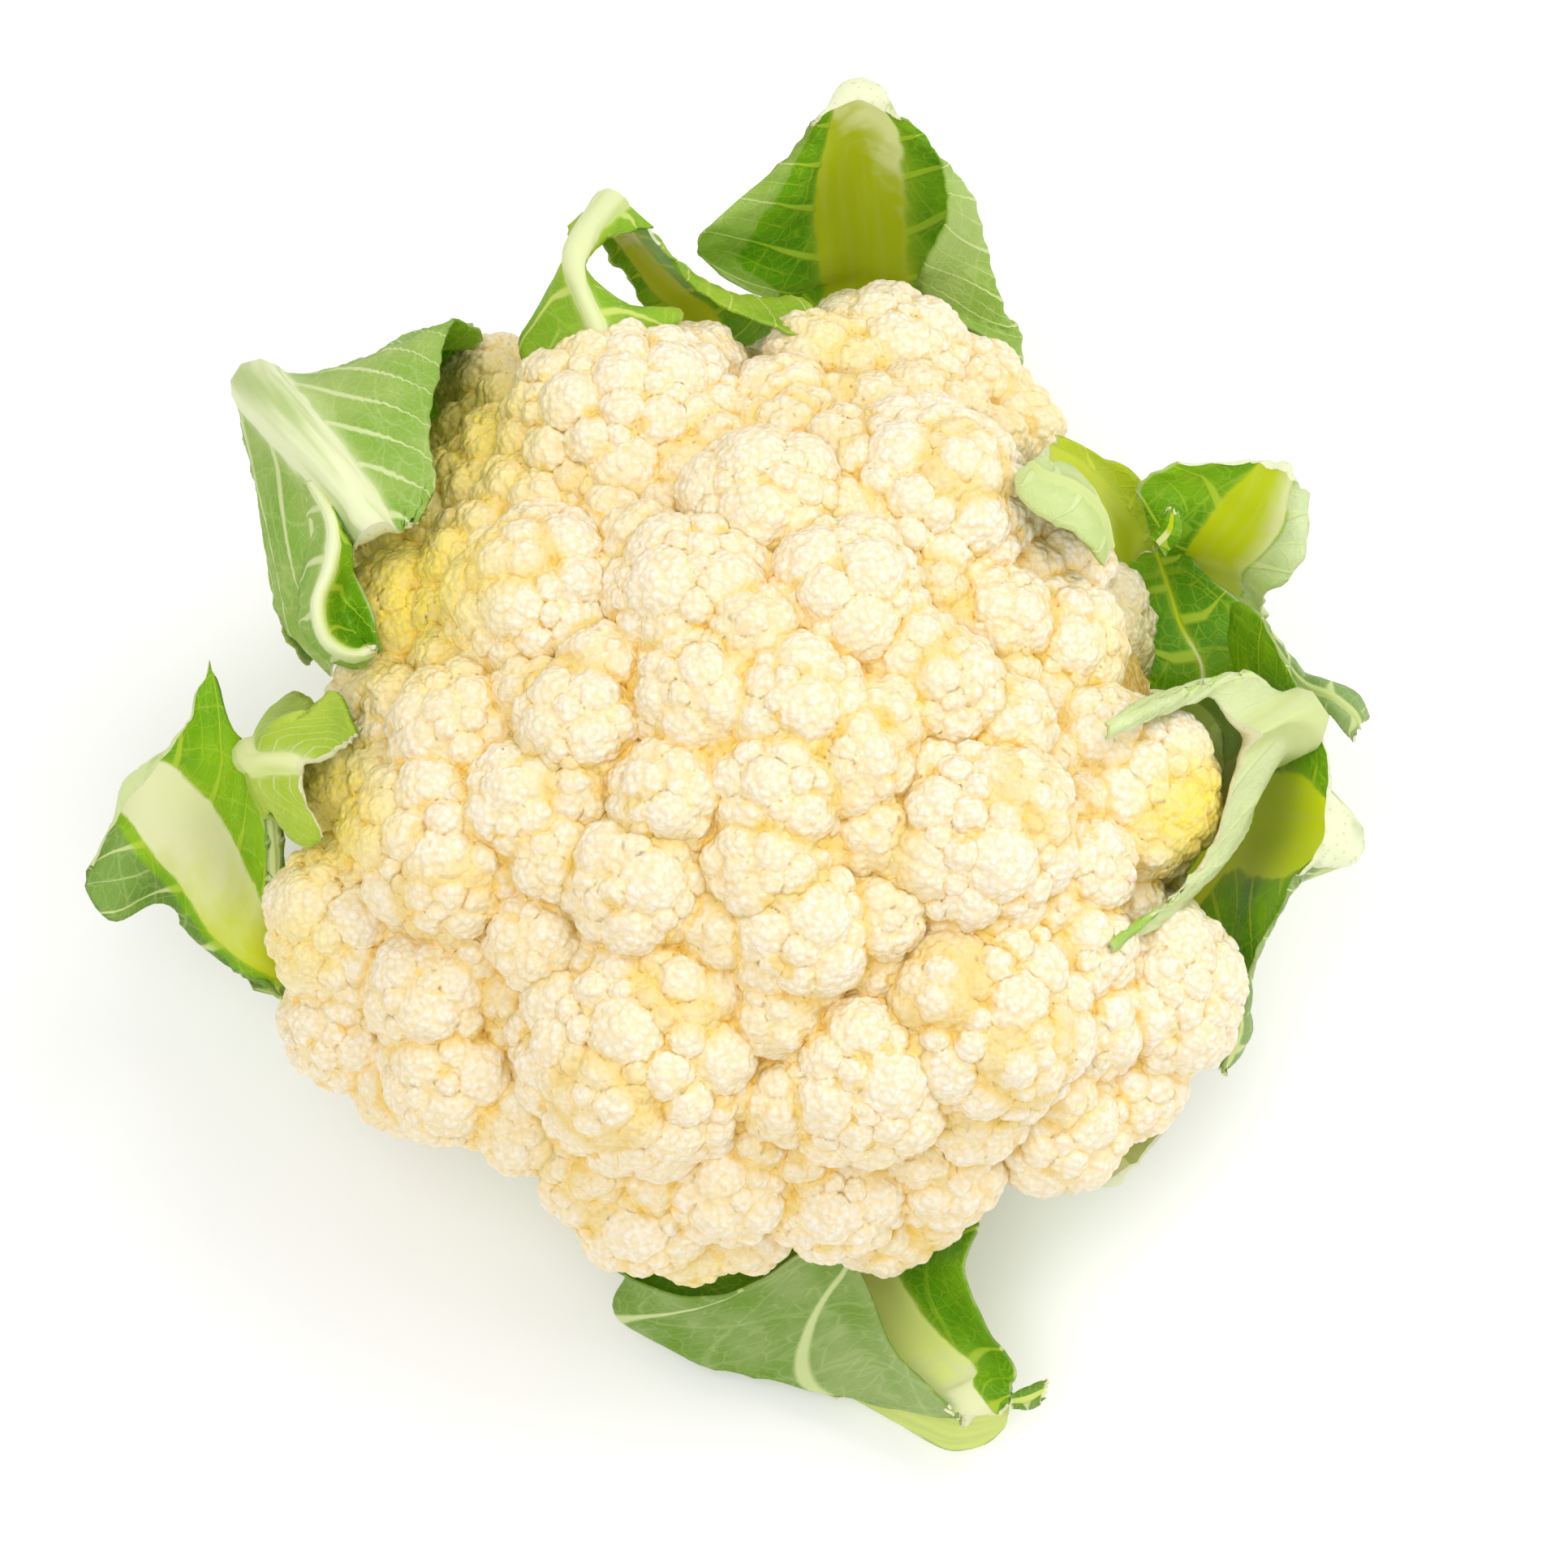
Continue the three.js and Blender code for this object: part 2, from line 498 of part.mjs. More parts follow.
// The leaf's rows from its foot to its tip, each with five points and the rib's half width and depth.
function leafRows(leaf) {
  const stem = leaf.stem.map(([x, y, z], index) => {
    const halfWidth = (leaf.stemWidth / 2) * (index === 0 ? STEM_FOOT_SHARE : 1);
    const points = stemRow(new THREE.Vector3(x, y, z), halfWidth);
    return { halfWidth, depth: leaf.stemThickness, points };
  });
  const blade = leaf.rows.map(([width, thickness, ...points]) => ({
    halfWidth: width / 2,
    depth: thickness,
    points: points.map(fromPlan),
  }));
  return [...stem, ...blade];
}

// Seven points across a row: margin, blade, rib side, rib middle, rib side, blade, margin.
function widenRib({ halfWidth, points }) {
  const [rightEdge, rightBlade, rib, leftBlade, leftEdge] = points;
  const toward = (target) => {
    const side = target.clone().sub(rib);
    const reach = Math.min(halfWidth, side.length() * RIB_SHARE_LIMIT);
    return rib.clone().addScaledVector(side.normalize(), reach);
  };
  return [rightEdge, rightBlade, toward(rightBlade), rib, toward(leftBlade), leftBlade, leftEdge];
}

// A grid of points over the leaf's inner face: rows run across it, from foot to tip.
function leafGrid(rows) {
  const across = rows.map(widenRib);
  const lengthwise = [...across[0].keys()].map((column) => (
    new THREE.CatmullRomCurve3(across.map((row) => row[column]), false, 'catmullrom', LEAF_TENSION)
  ));
  const steps = (rows.length - 1) * LEAF_ROW_STEPS;
  const grid = [];
  for (let step = 0; step <= steps; step += 1) {
    const controls = lengthwise.map((curve) => curve.getPoint(step / steps));
    const outline = new THREE.CatmullRomCurve3(controls, false, 'centripetal');
    grid.push(COLUMN_SPOTS.map((spot) => outline.getPoint(spot / (controls.length - 1))));
  }
  return grid;
}

// Directions out of the inner face at every grid point.
function gridNormals(grid) {
  const lastRow = grid.length - 1;
  const lastColumn = grid[0].length - 1;
  return grid.map((row, i) => row.map((point, j) => {
    const up = grid[Math.min(i + 1, lastRow)][j].clone().sub(grid[Math.max(i - 1, 0)][j]);
    const left = grid[i][Math.min(j + 1, lastColumn)].clone().sub(grid[i][Math.max(j - 1, 0)]);
    return left.cross(up).normalize().negate();
  }));
}

// The grid with its margins waved up and down, from the first waved row to the tip.
function waveMargins(grid, firstWaved) {
  const normals = gridNormals(grid);
  return grid.map((row, i) => row.map((point, j) => {
    const side = j < row.length / 2 ? 0 : 1;
    const height = i < firstWaved ? 0 : WAVE_HEIGHT * Math.sin(i * WAVE_TURN + side);
    return point.clone().addScaledVector(normals[i][j], height * WAVE_SHARE[j]);
  }));
}

// How far the back of the leaf lies behind its inner face: the rib is a rounded bar.
function leafDepth(rows, step, column) {
  const place = step / LEAF_ROW_STEPS;
  const below = rows[Math.floor(place)];
  const above = rows[Math.ceil(place)];
  const ribDepth = THREE.MathUtils.lerp(below.depth, above.depth, place % 1);
  return Math.max(ribDepth * RIB_PROFILE[column], BLADE_DEPTHS[column]);
}

// The triangles of a closed leaf, whose points come in pairs: one on its face, one on its back. Each
// square of the grid is split along the same corners on both sides.
function leafTriangles(rowCount, columnCount) {
  const face = (i, j) => 2 * (i * columnCount + j);
  const back = (i, j) => face(i, j) + 1;
  const triangles = [];
  const addSquare = (a, b, c, d) => triangles.push(a, b, c, a, c, d);
  const tip = rowCount - 1;
  const side = columnCount - 1;
  for (let i = 0; i < tip; i += 1) {
    for (let j = 0; j < side; j += 1) {
      addSquare(face(i, j), face(i + 1, j), face(i + 1, j + 1), face(i, j + 1));
      addSquare(back(i, j), back(i, j + 1), back(i + 1, j + 1), back(i + 1, j));
    }
    addSquare(face(i, 0), back(i, 0), back(i + 1, 0), face(i + 1, 0));
    addSquare(face(i, side), face(i + 1, side), back(i + 1, side), back(i, side));
  }
  for (let j = 0; j < side; j += 1) {
    addSquare(face(0, j), face(0, j + 1), back(0, j + 1), back(0, j));
    addSquare(face(tip, j), back(tip, j), back(tip, j + 1), face(tip, j + 1));
  }
  return triangles;
}

function makeLeaf(leaf) {
  const rows = leafRows(leaf);
  const inner = waveMargins(leafGrid(rows), leaf.stem.length * LEAF_ROW_STEPS);
  const normals = gridNormals(inner);
  const places = [];
  inner.forEach((row, i) => row.forEach((point, j) => {
    const depth = leafDepth(rows, i, j);
    places.push(point, point.clone().addScaledVector(normals[i][j], -depth));
  }));
  const geometry = new THREE.BufferGeometry().setFromPoints(places);
  geometry.setIndex(leafTriangles(inner.length, COLUMN_SPOTS.length));
  geometry.computeVertexNormals();
  const mesh = new THREE.Mesh(geometry, leafMaterial);
  mesh.name = leaf.name;
  return mesh;
}

// ---- the stalk ----------------------------------------------------------------------------------

function makeStalk() {
  const profile = STALK_OUTLINE.map(([radius, height]) => new THREE.Vector2(radius, height));
  const turned = new THREE.LatheGeometry(profile, STALK_SIDES);
  turned.rotateX(Math.PI / 2);
  turned.deleteAttribute('normal');
  turned.deleteAttribute('uv');
  const geometry = mergeVertices(turned, MERGE_DISTANCE);
  geometry.computeVertexNormals();
  const stalk = new THREE.Mesh(geometry, stalkMaterial);
  stalk.name = 'stalk';
  return stalk;
}

const cauliflower = new THREE.Group();
cauliflower.add(makeCurd());
cauliflower.add(makeStalk());
cauliflower.add(...LEAVES.map(makeLeaf));

export default cauliflower;
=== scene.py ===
"""Dresses the trimmed cauliflower: its curd, its stalk and its cut-back leaves, on a pale floor."""

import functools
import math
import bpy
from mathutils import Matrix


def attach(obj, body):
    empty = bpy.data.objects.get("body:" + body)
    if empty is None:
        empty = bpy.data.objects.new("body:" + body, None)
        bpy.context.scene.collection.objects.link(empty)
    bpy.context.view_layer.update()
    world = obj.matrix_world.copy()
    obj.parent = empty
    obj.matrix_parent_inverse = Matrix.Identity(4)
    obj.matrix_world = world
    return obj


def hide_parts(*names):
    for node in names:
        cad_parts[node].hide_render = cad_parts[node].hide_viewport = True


bl_info = {
    "name": "Trimmed Cauliflower",
    "version": (1, 0, 0),
    "blender": (4, 5, 0),
    "location": "View3D > Sidebar > Cauliflower",
    "description": "Makes a cauliflower head with its florets, stalk and trimmed leaves",
    "category": "Add Mesh",
}

import bpy
import numpy as np
from mathutils import Vector
from mathutils.kdtree import KDTree

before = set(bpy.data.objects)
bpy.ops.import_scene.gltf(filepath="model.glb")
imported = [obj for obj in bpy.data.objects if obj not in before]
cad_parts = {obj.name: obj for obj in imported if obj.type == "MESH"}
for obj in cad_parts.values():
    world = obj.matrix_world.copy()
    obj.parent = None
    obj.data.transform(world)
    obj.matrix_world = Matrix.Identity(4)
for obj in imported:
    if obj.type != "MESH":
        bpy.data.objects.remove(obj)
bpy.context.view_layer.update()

MM = 0.001
FULL_TURN = 2 * math.pi
GOLDEN_ANGLE = math.pi * (3 - math.sqrt(5))

# ---- the head's measures, in millimetres -------------------------------------

HEAD_CENTRE = np.array([0.0, 0.0, 56.0])
HEAD_HALF_WIDTH = 87.0
HEAD_HALF_DEPTH = 89.0
HEAD_RISE = 64.0
HEAD_DROP = 34.0
HEAD_TAPER = 0.2
CORE_SHRINK = 12.0

# The plan that the florets and leaves are placed in leans back, as the head is looked down at.
PLAN_LEAN = math.radians(25)
PLAN_UP = np.array([0.0, math.cos(PLAN_LEAN), math.sin(PLAN_LEAN)])
PLAN_OUT = np.array([0.0, -math.sin(PLAN_LEAN), math.cos(PLAN_LEAN)])
SHELL_ROUNDS = 12

# Each floret: across and along the leaning plan, radius, and how far it stands out of the shell.
FLORETS = [
    # crown
    (1, 45, 14, 4), (-11, 29, 14.5, 4.5), (14, 29, 14, 4.5), (-9, 13, 12.5, 4), (6, 11, 13, 4.5),
    (-1, 24, 7, 5), (26, 20, 8, 0), (3, -3, 11.5, 3), (16, 2, 9, 2), (-15, -4, 9, 2.5),
    (1, -15, 10, 1.5),
    (-20, 40, 6, 1), (-26, 18, 7, 0), (21, 9, 7, 0),
    # upper left dome
    (-23, 57, 22.5, 1), (-28, 49, 9, 3), (-41, 48, 8, -4), (-11, 73, 7.5, -6), (-9, 56, 7, 0),
    # left shoulder
    (-36, 28, 17.5, 1.5), (-40, 34, 8.5, 2), (-30, 8, 10.5, 2.5), (-20, -18, 13, 1.5),
    (-51, 7, 11, 0.5),
    (-51, -12, 17.5, 1), (-40, -5, 9.5, 1.5), (-34, -14, 7.5, -1), (-52, -18, 9, 2),
    (-6, -26, 6.5, -3),
    (7, -26, 13, 0.5), (-38, 13, 7, -2), (-31, -3, 6.5, -1), (-37, -28, 8, -4),
    # right shoulder
    (27, 44, 21, 1), (15, 56, 7.5, 0), (33, 51, 9, 3), (22, 36, 7.5, 2), (31, 14, 10, 0),
    (42, 27, 8, -4),
    (35, -11, 18, 1.5), (27, -14, 9, 3), (43, -6, 9.5, 2), (20, -10, 7, -3), (42, 8, 8, -4),
    (53, 37, 9, -9), (51, 22, 12, -8), (64, -3, 16, -7), (58, 6, 8.5, -7), (55, -16, 9, -6),
    (66, -9, 8.5, -8), (21, -24, 6.5, -3),
    # back rim
    (24, 74, 14, -4), (39, 70, 9.5, -7), (10, 74, 8.5, -7), (17, 83, 6.5, -8), (4, 65, 8.5, -5),
    (46, 62, 8.5, -9), (-49, 71, 10, -8), (-52, 61, 8, -8), (-51, 50, 9.5, -9), (-50, 40, 7.5, -9),
    # left side
    (-62, 27, 12, -8), (-62, 41, 10, -9), (-66, 12, 9, -9), (-69, -1, 8, -9), (-70, -26, 15, -4),
    (-71, -43, 11.5, -5),
    (-55, -37, 13, -5), (-52, -51, 12, -4), (-64, -10, 8, -7), (-40, -59, 9, -7), (-62, -54, 8, -7),
    # front
    (-19, -45, 22.5, 1), (-14, -38, 11, 3.5), (-24, -52, 9.5, 3), (37, -41, 19.5, 1),
    (18, -51, 15, 0),
    (33, -37, 8.5, 2.5), (43, -46, 9, 2), (3, -40, 7, -4), (5, -55, 7, -4), (37, -57, 9, -4),
    # right side
    (55, -30, 9, -6), (57, -43, 9, -6), (69, -38, 15.5, -5), (52, -60, 12, -5), (65, -54, 9, -6),
    # front foot
    (-20, -74, 13, -6), (-5, -69, 11, -6), (13, -71, 12, -7), (-29, -70, 8, -8), (32, -68, 10, -8),
    (-2, -80, 7, -10), (22, -78, 9, -9), (-12, -81, 8, -8), (29, -76, 7, -10),
]

# Where the plan leaves a gap, a small floret fills it: reach and grid spacing of the search, width
# of the ring that a gap is measured against, least depth, radius, share of the depth filled, and
# how many there may be.
GAP_SEARCH = 95.0
GAP_GRID = 2.5
GAP_RING = 7.5
GAP_DEPTH = 6.4
GAP_RADIUS = 6.2
GAP_FILL = 0.62
GAP_MOST = 60

# Florets on a spiral fill the back and the underside, where the plan doesn't reach.
FILL_RADIUS = (10.0, 14.5)
FILL_TRIES = 420
FILL_SINK = 5.0
FILL_LOWEST_NORMAL = -0.72
FILL_SPACING = 0.66

# A floret's ball is larger than what shows of it, a small one's more so, as its neighbours press on
# it. Small florets sit in the face of a larger host.
FLORET_SWELL = 1.05
SMALL_SWELL = 1.14
SMALL_FLORET = 12.5
HOST_RATIO = 1.25
HOST_REACH = 0.9
HOST_SINK = 0.8

# Lumps are packed onto a floret from the largest down: radius in millimetres as least, most, and
# how many directions are tried.
LUMP_SIZES = ((6.6, 8.2, 10), (4.4, 6.0, 70), (3.1, 4.2, 400), (2.2, 2.9, 1100))
LARGEST_LUMP_SHARE = 0.5
LUMP_OVERLAP = 0.72
LUMP_SINK = 0.8
SMALL_LUMP_SINK = 0.9
LUMP_REACH = math.radians(112)
LUMP_SPIRAL_TURN = 6.0
FLORET_FLOOR = 0.93
ACROSS_HINT = np.array([0.3, 0.1, 1.0])

# How much of a floret is made: what is deeper than this in a neighbour is left out. Florets that
# face away from the plan by more than the turn are made more coarsely.
HIDDEN_DEPTH = 1.2
SEEN_DEPTH = 0.2
NEIGHBOUR_SINK = 0.04
OWN_REACH = 1.25
NEIGHBOUR_REACH = 1.1
FEWEST_FACES = 12
FEWEST_STEPS = 10
ROOT_DEPTH = 0.7
AWAY_TURN = -0.05
AWAY_COARSENESS = 1.9
STEPS_PER_RADIUS = 1.12

# Beads, in shares of their spacing: how wide each is, how wide the groove between two is, and how
# far its seed strays. A seed counts only as near to the surface as its reach, in millimetres.
BEAD_WIDTH = 0.68
BEAD_GROOVE = 0.32
BEAD_STRAY = 0.16
BEAD_PACKING = 0.87
BEAD_SPIRAL_TURN = 6.28
SEED_REACH = 1.2
LUMP_GROOVE = 1.1
FLORET_GROOVE = (0.1, 2.1)

# Creases are looked for among every twelfth point of the surface, over a wide and a close reach.
CREASE_SAMPLE = 12
CREASE_BLUR = 3
WIDE_REACH = 5.0
CLOSE_REACH = 2.4

# The bed under the florets: its share of every floret, its spacing, the height and pace of its
# waves, and the layers' values on it, as it lies at the bottom of the creases, in their deepest
# painted shade.
BED_SHARE = 0.88
BED_SPACING = 2.2
BED_WAVES = 0.35
BED_WAVE_PACE = 1.9
BED_BEND_PACE = 1.3
BED_BEND = 1.5
BED_LAYERS = {"wide_crease": 0.3, "close_crease": 0.2, "floret_edge": 0, "lump_edge": 0,
              "knob_edge": 0, "bead_edge": 0, "tone": 0}

# The curd is made in sectors: a crown round a point a little behind the middle, and six around it.
CROWN_MIDDLE = np.array([0.0, -12.0])
CROWN_RADIUS = 34.0
SECTORS = ("right_back", "back", "left_back", "left_front", "front", "right_front")

# Painted light: where the curd is coloured gold-green as if lit through and off the leaves beside
# it, brighter than their shade: across, along, how far and how strongly.
PAINTED_LEAF_LIGHT_SPOTS = (
    (-64, 34, 28, 0.95), (-56, 62, 26, 0.9), (-76, -6, 20, 0.95), (-80, -30, 12, 0.5),
    (79, -7, 18, 1.0), (66, 22, 14, 0.3), (-10, -92, 12, 0.35), (-34, 78, 10, 0.3),
    (50, 66, 16, 0.2), (14, 78, 12, 0.3))
PAINTED_LEAF_LIGHT_FULL_SHARE = 0.2

# ---- the stalk's measures ----------------------------------------------------

# The outline of its side from the cut face up, as radius and height.
STALK_OUTLINE = ((23.5, 0.0), (25.0, 1.5), (24.5, 12.0), (23.5, 22.0), (26.0, 31.0), (24.0, 33.4))
STALK_SIDES = 160
STALK_RINGS = 66
STALK_FACE_RINGS = 26
STALK_TOP_RINGS = 7
STALK_INNERMOST = 0.4
STALK_HOLLOW = 0.3
# Its side is uneven between these heights: where that begins, is full, is full to, and ends.
STALK_ROUGH = (0.2, 1.5, 30.0, 33.0)
# Ridges run up the side: height, how many go round, and how far along the first is.
STALK_RIDGES = (0.22, 9, 0.0), (0.12, 23, 1.0)
RIDGE_BEND = 1.5
STALK_ROUGHNESS = 0.03
FACE_ROUGHNESS = 0.06
# Where leaves were cut away: direction in degrees, height, half width and half height.
STALK_SCARS = (
    (62, 12, 7, 3.2), (122, 9, 6.5, 3), (258, 11, 8, 3.4), (333, 12, 7, 3.2), (28, 25, 6, 2.6),
    (88, 24, 6, 2.4), (160, 25, 6, 2.6), (214, 24, 6.5, 2.6), (300, 25, 6, 2.6))
SCAR_LIP = 0.75
SCAR_LIP_WIDTH = 0.16
SCAR_DEPTH = 0.5
SCAR_HOLLOW_EDGE = (0.7, 1.0)
SCAR_COLOUR_EDGE = (0.85, 1.1)

# ---- the leaves' measures ----------------------------------------------------

STEM_MARGIN = 1.25
STEM_FOOT_SHARE = 0.8
RIB_SHARE_LIMIT = 0.7
RIB_HALF = 5.0
RIB_LINE, LAST_LINE = 3, 6
# How thick the rib is across: places counted in control points from its middle, and shares.
RIB_PROFILE = ((0, 0.35, 0.75, 1.0, 1.5, 2.0), (1, 0.93, 0.62, 0.36, 0.08, 0))
RIB_GROOVE = 0.13
GROOVE_PACE = 2.4
GROOVE_WANDER = (0.5, 15.0)
BLADE_THICKNESS = 0.95
MARGIN_THINNING = 0.5
VEIN_HEIGHT = 0.32
INNER_VEIN_HEIGHT = 0.12
VEIN_WIDTH = 3.0
VEIN_THINNING = 0.9
VEIN_BEND = 0.006
# How far the side veins stray and over what length, and by which share of their pitch the two sides
# are out of step. The cross veins' pitch is a share of theirs.
VEIN_WANDER = (2.2, 20.0)
VEIN_STAGGER = 0.23
CROSS_WANDER = (2.0, 12.0)
CROSS_PITCH_SHARE = 0.62
# Torn edges: share and length of the broad and fine tears, and how much is gone on average.
MARGIN_TEARS = (0.55, 9.0), (0.3, 3.2), 0.35
END_TEARS = (0.5, 7.0), (0.3, 2.5), 0.4
END_WIDTH = 60.0
DEEPEST_END_TEAR = 8.0
END_FROM = 0.72
# The most that a margin moves out and in, as shares of its strip.
TEAR_LIMITS = (-0.25, 0.6)
# Waves toward the margin: share of the ruffle, length, and how steeply they grow.
RUFFLES = (1.0, 13.0, 1.7), (0.45, 4.5, 6)
TURN_WANDER = (0.15, 8.0)
# A cut end bulges by a share of its thickness, up to a limit, and is a little rough.
CAP_RINGS = 5
CAP_BULGE = 0.16
CAP_BULGE_LIMIT = 0.8
CAP_ROUGHNESS = 0.12
# The back and the cut ends are laid out apart from the face, so that their textures differ.
BACK_LAYOUT = (40.0, 0.0, 0.0)
CAP_LAYOUT = 30.0

# How a sheet is made where it doesn't say otherwise: how far its margins and its cut end run in and
# out, how high its margins wave and its blade puckers between veins, how far apart the side veins
# are and how far they lean toward the tip, and how its distances from the rib's middle are scaled.
# A turned margin shows the skin of the leaf's back on one side, from a place across and a share of
# the length on. The outer side shows that skin all over: -1, 1, or 2 for both.
LEAF_STYLE = {
    "tear": 1.6, "end_tear": 2.0, "ruffle": 1.6, "pucker": 0.5, "vein_pitch": 13.0,
    "vein_lean": 0.7, "rib_spread": 1, "turned": None, "outer_side": None}

# Each leaf is one or more sheets. A sheet has its style, its stem and the rows across its blade. A
# stem has its width, thickness and points. A row has the rib's width and thickness, then right
# margin, right blade, rib, left blade and left margin, each given as across, along and height.
NO_STEM = (0, 0, ())
LEAVES = {}
LEAVES["leaf_back"] = (
    ({"turned": (1, 2.45, 0.64)}, (11, 6, ((4.3, 24.8, 9), (8, 56, 13), (12, 80, 26))), (
        (17, 6, (50, 73, 50), (47, 81, 48), (20, 89, 46), (9, 92, 47), (5, 94, 48)),
        (18, 6, (31, 88, 68), (46, 87, 60), (20, 97, 59), (5.4, 91.2, 60), (1.5, 90, 62)),
        (18, 6, (29, 93, 80), (42, 99, 73), (19, 105, 73), (3, 99.4, 72), (-10.8, 96.8, 70)),
        (17, 6, (34, 103, 94), (38, 108, 87), (18, 113, 87), (7.5, 107.9, 86), (-11, 100.9, 80)),
        (16, 5.5, (32, 115, 98), (29, 116, 99), (18, 119, 99), (10.2, 115.8, 97), (3.7, 112.6, 92)),
        (14, 5, (26.1, 118.6, 105), (24.3, 120, 106), (18.7, 122.6, 107), (11.3, 120, 106),
         (9.6, 118.4, 104)),
    )),
)
LEAVES["leaf_back_small"] = (
    ({}, (8, 4.5, ((-5, 24.2, 17), (-12, 54, 19), (-18, 80, 30))), (
        (8, 4, (4, 85, 70), (-3, 85, 56), (-10, 84, 48), (-15, 82, 47), (-19, 81, 47)),
        (8, 4, (9, 86, 88), (-8, 89, 74), (-17, 92, 66), (-22, 91, 65), (-24, 89, 64)),
        (8, 4, (9, 79, 97), (-13, 92, 85), (-22, 96.5, 79), (-25, 95.5, 77), (-27, 94, 77)),
        (7.5, 4, (-9, 88, 99), (-18, 96.5, 94), (-25, 99.5, 90), (-28, 98.5, 89), (-29, 97, 87)),
        (7, 3.5, (-17, 97, 103), (-21, 100, 103), (-27, 102, 101), (-31, 100, 100), (-33, 98, 98)),
    )),
    ({}, NO_STEM, (
        (8, 3.5, (-18, 98, 102), (-22, 101, 104), (-27, 102.5, 105), (-31, 101, 104),
         (-34, 97, 101)),
        (5.5, 3.5, (-26.5, 96.1, 108), (-27.9, 95.6, 110), (-30.8, 94.9, 111), (-33.1, 94.5, 109),
         (-34.1, 94, 106)),
        (3, 3, (-30.7, 90.9, 110), (-31.3, 90.6, 111), (-32.7, 90.2, 112), (-35.3, 88.9, 110),
         (-37.5, 86.6, 106)),
        (3, 2.6, (-23.1, 84.2, 106), (-27.4, 84.5, 109), (-31.2, 85.3, 110), (-35.3, 83.6, 108),
         (-40.5, 81.5, 103)),
        (3, 2.4, (-14, 84.1, 104), (-22.3, 81.7, 107), (-29, 80.1, 108), (-35.3, 78.9, 105),
         (-42.7, 78, 99)),
        (2.6, 2.2, (-14.3, 80, 103), (-21.6, 78, 105), (-27.6, 75.8, 106), (-35.1, 73.5, 102),
         (-41.7, 73.1, 96)),
        (2.2, 1.8, (-25, 75.2, 103), (-26.7, 74.2, 104), (-28.4, 73, 104), (-33.2, 70.7, 100),
         (-38.8, 68.4, 95)),
    )),
)
LEAVES["leaf_left_upper"] = (
    ({"vein_lean": 1.3, "vein_pitch": 12},
     (11, 6, ((-20.4, 14.7, 9), (-48, 34, 13), (-70, 50, 28))), (
        (11, 6, (-55, 82, 58), (-65, 79, 58), (-80, 55, 56), (-88, 38, 54), (-84, 20, 52)),
        (10, 6, (-52, 79, 74), (-69, 77, 78), (-87, 67, 78), (-90, 49, 72), (-87, 31, 66)),
        (9.5, 6, (-49.9, 80.2, 86), (-72.3, 73.1, 92), (-89.6, 69.2, 90), (-93.2, 63.7, 87),
         (-90.2, 50.6, 80)),
        (9, 6, (-54.1, 81.8, 96), (-65.9, 74.6, 100), (-85.1, 64.6, 99), (-89.5, 56, 93),
         (-87.6, 38.5, 82)),
        (8.5, 5.5, (-56.6, 68.4, 102), (-66.6, 64.5, 104), (-78.6, 57.5, 103), (-84.7, 45.2, 95),
         (-85.3, 30.3, 83)),
        (8, 5.5, (-56.3, 56.4, 103), (-63.5, 54.9, 104), (-72.6, 50.6, 103), (-79.2, 37.8, 96),
         (-83.2, 24.9, 85)),
        (7.5, 5, (-56.9, 49.1, 103), (-61.2, 47.9, 103), (-68.7, 45.4, 102), (-73.4, 37.8, 97),
         (-79.5, 20.5, 86)),
        (7, 5, (-59.6, 42.6, 102), (-62.1, 42.5, 102), (-66, 41.6, 102), (-70.4, 39.7, 100),
         (-75.3, 16.1, 86)),
    )),
    ({"outer_side": -1, "ruffle": 0.8, "vein_pitch": 9}, NO_STEM, (
        (1.8, 1.3, (-76.2, 49.7, 103), (-76.8, 50.5, 104), (-77.9, 51.4, 104), (-79.5, 51.2, 102),
         (-80.8, 50.8, 100)),
        (1.9, 1.3, (-71.5, 39.7, 100), (-72.5, 41.3, 102), (-74.2, 44, 103), (-77.3, 43.2, 100),
         (-80.4, 41.4, 97)),
        (1.9, 1.3, (-71.3, 36.3, 98), (-72.6, 35.9, 99), (-74.6, 36.4, 102), (-78.5, 35.4, 99),
         (-81.2, 32, 96)),
        (1.8, 1.3, (-69, 32.3, 96), (-72.9, 30.9, 94), (-76.5, 29.8, 101), (-78.6, 29, 98),
         (-80.5, 28.8, 96)),
        (1.7, 1.2, (-66.2, 24.8, 96), (-71.7, 26.1, 92), (-75, 23.5, 100), (-76.4, 22.8, 97),
         (-77.5, 22, 95)),
        (1.4, 1.1, (-64.6, 21.3, 97), (-68.6, 22.6, 93), (-70.4, 20.7, 98), (-71.4, 19.4, 96),
         (-72.2, 18.6, 94)),
        (1.1, 1, (-64.8, 21, 97), (-66.1, 21.9, 96), (-66.9, 21.9, 97), (-67.4, 19.7, 95),
         (-68, 18, 93)),
    )),
)
LEAVES["leaf_left_small"] = (
    ({"vein_pitch": 5, "vein_lean": 2.4, "pucker": 0.3},
     (7, 3.5, ((-24.4, 3.8, 18), (-52, 4, 20), (-76, 2, 34))), (
        (7, 3.5, (-85, 13, 58), (-88, 9, 57), (-91, 1, 55), (-90, -4, 55), (-88, -8, 57)),
        (5.5, 3, (-79, 13, 78), (-86, 10, 76), (-90, 4, 75), (-89, -2, 74), (-86, -8, 74)),
        (4.5, 3, (-83.6, 9.8, 86), (-86.1, 6.7, 85), (-87.4, 1.7, 84), (-87.6, -1.8, 83),
         (-86.1, -7, 79)),
        (3.8, 2.8, (-75.3, 12.3, 90), (-79.9, 9.2, 88), (-83.8, 1.8, 89), (-84, -3.8, 87),
         (-82.1, -11.4, 83)),
        (3.2, 2.6, (-71.7, 15.1, 94), (-74.2, 8.5, 91), (-80.3, 1.8, 92), (-80.4, -4.2, 89),
         (-77.6, -12.8, 85)),
        (2.8, 2.4, (-67.9, 7, 98), (-70.8, 4.2, 96), (-78, 1.3, 93), (-78.3, -2.8, 91),
         (-74.8, -11.1, 87)),
    )),
)
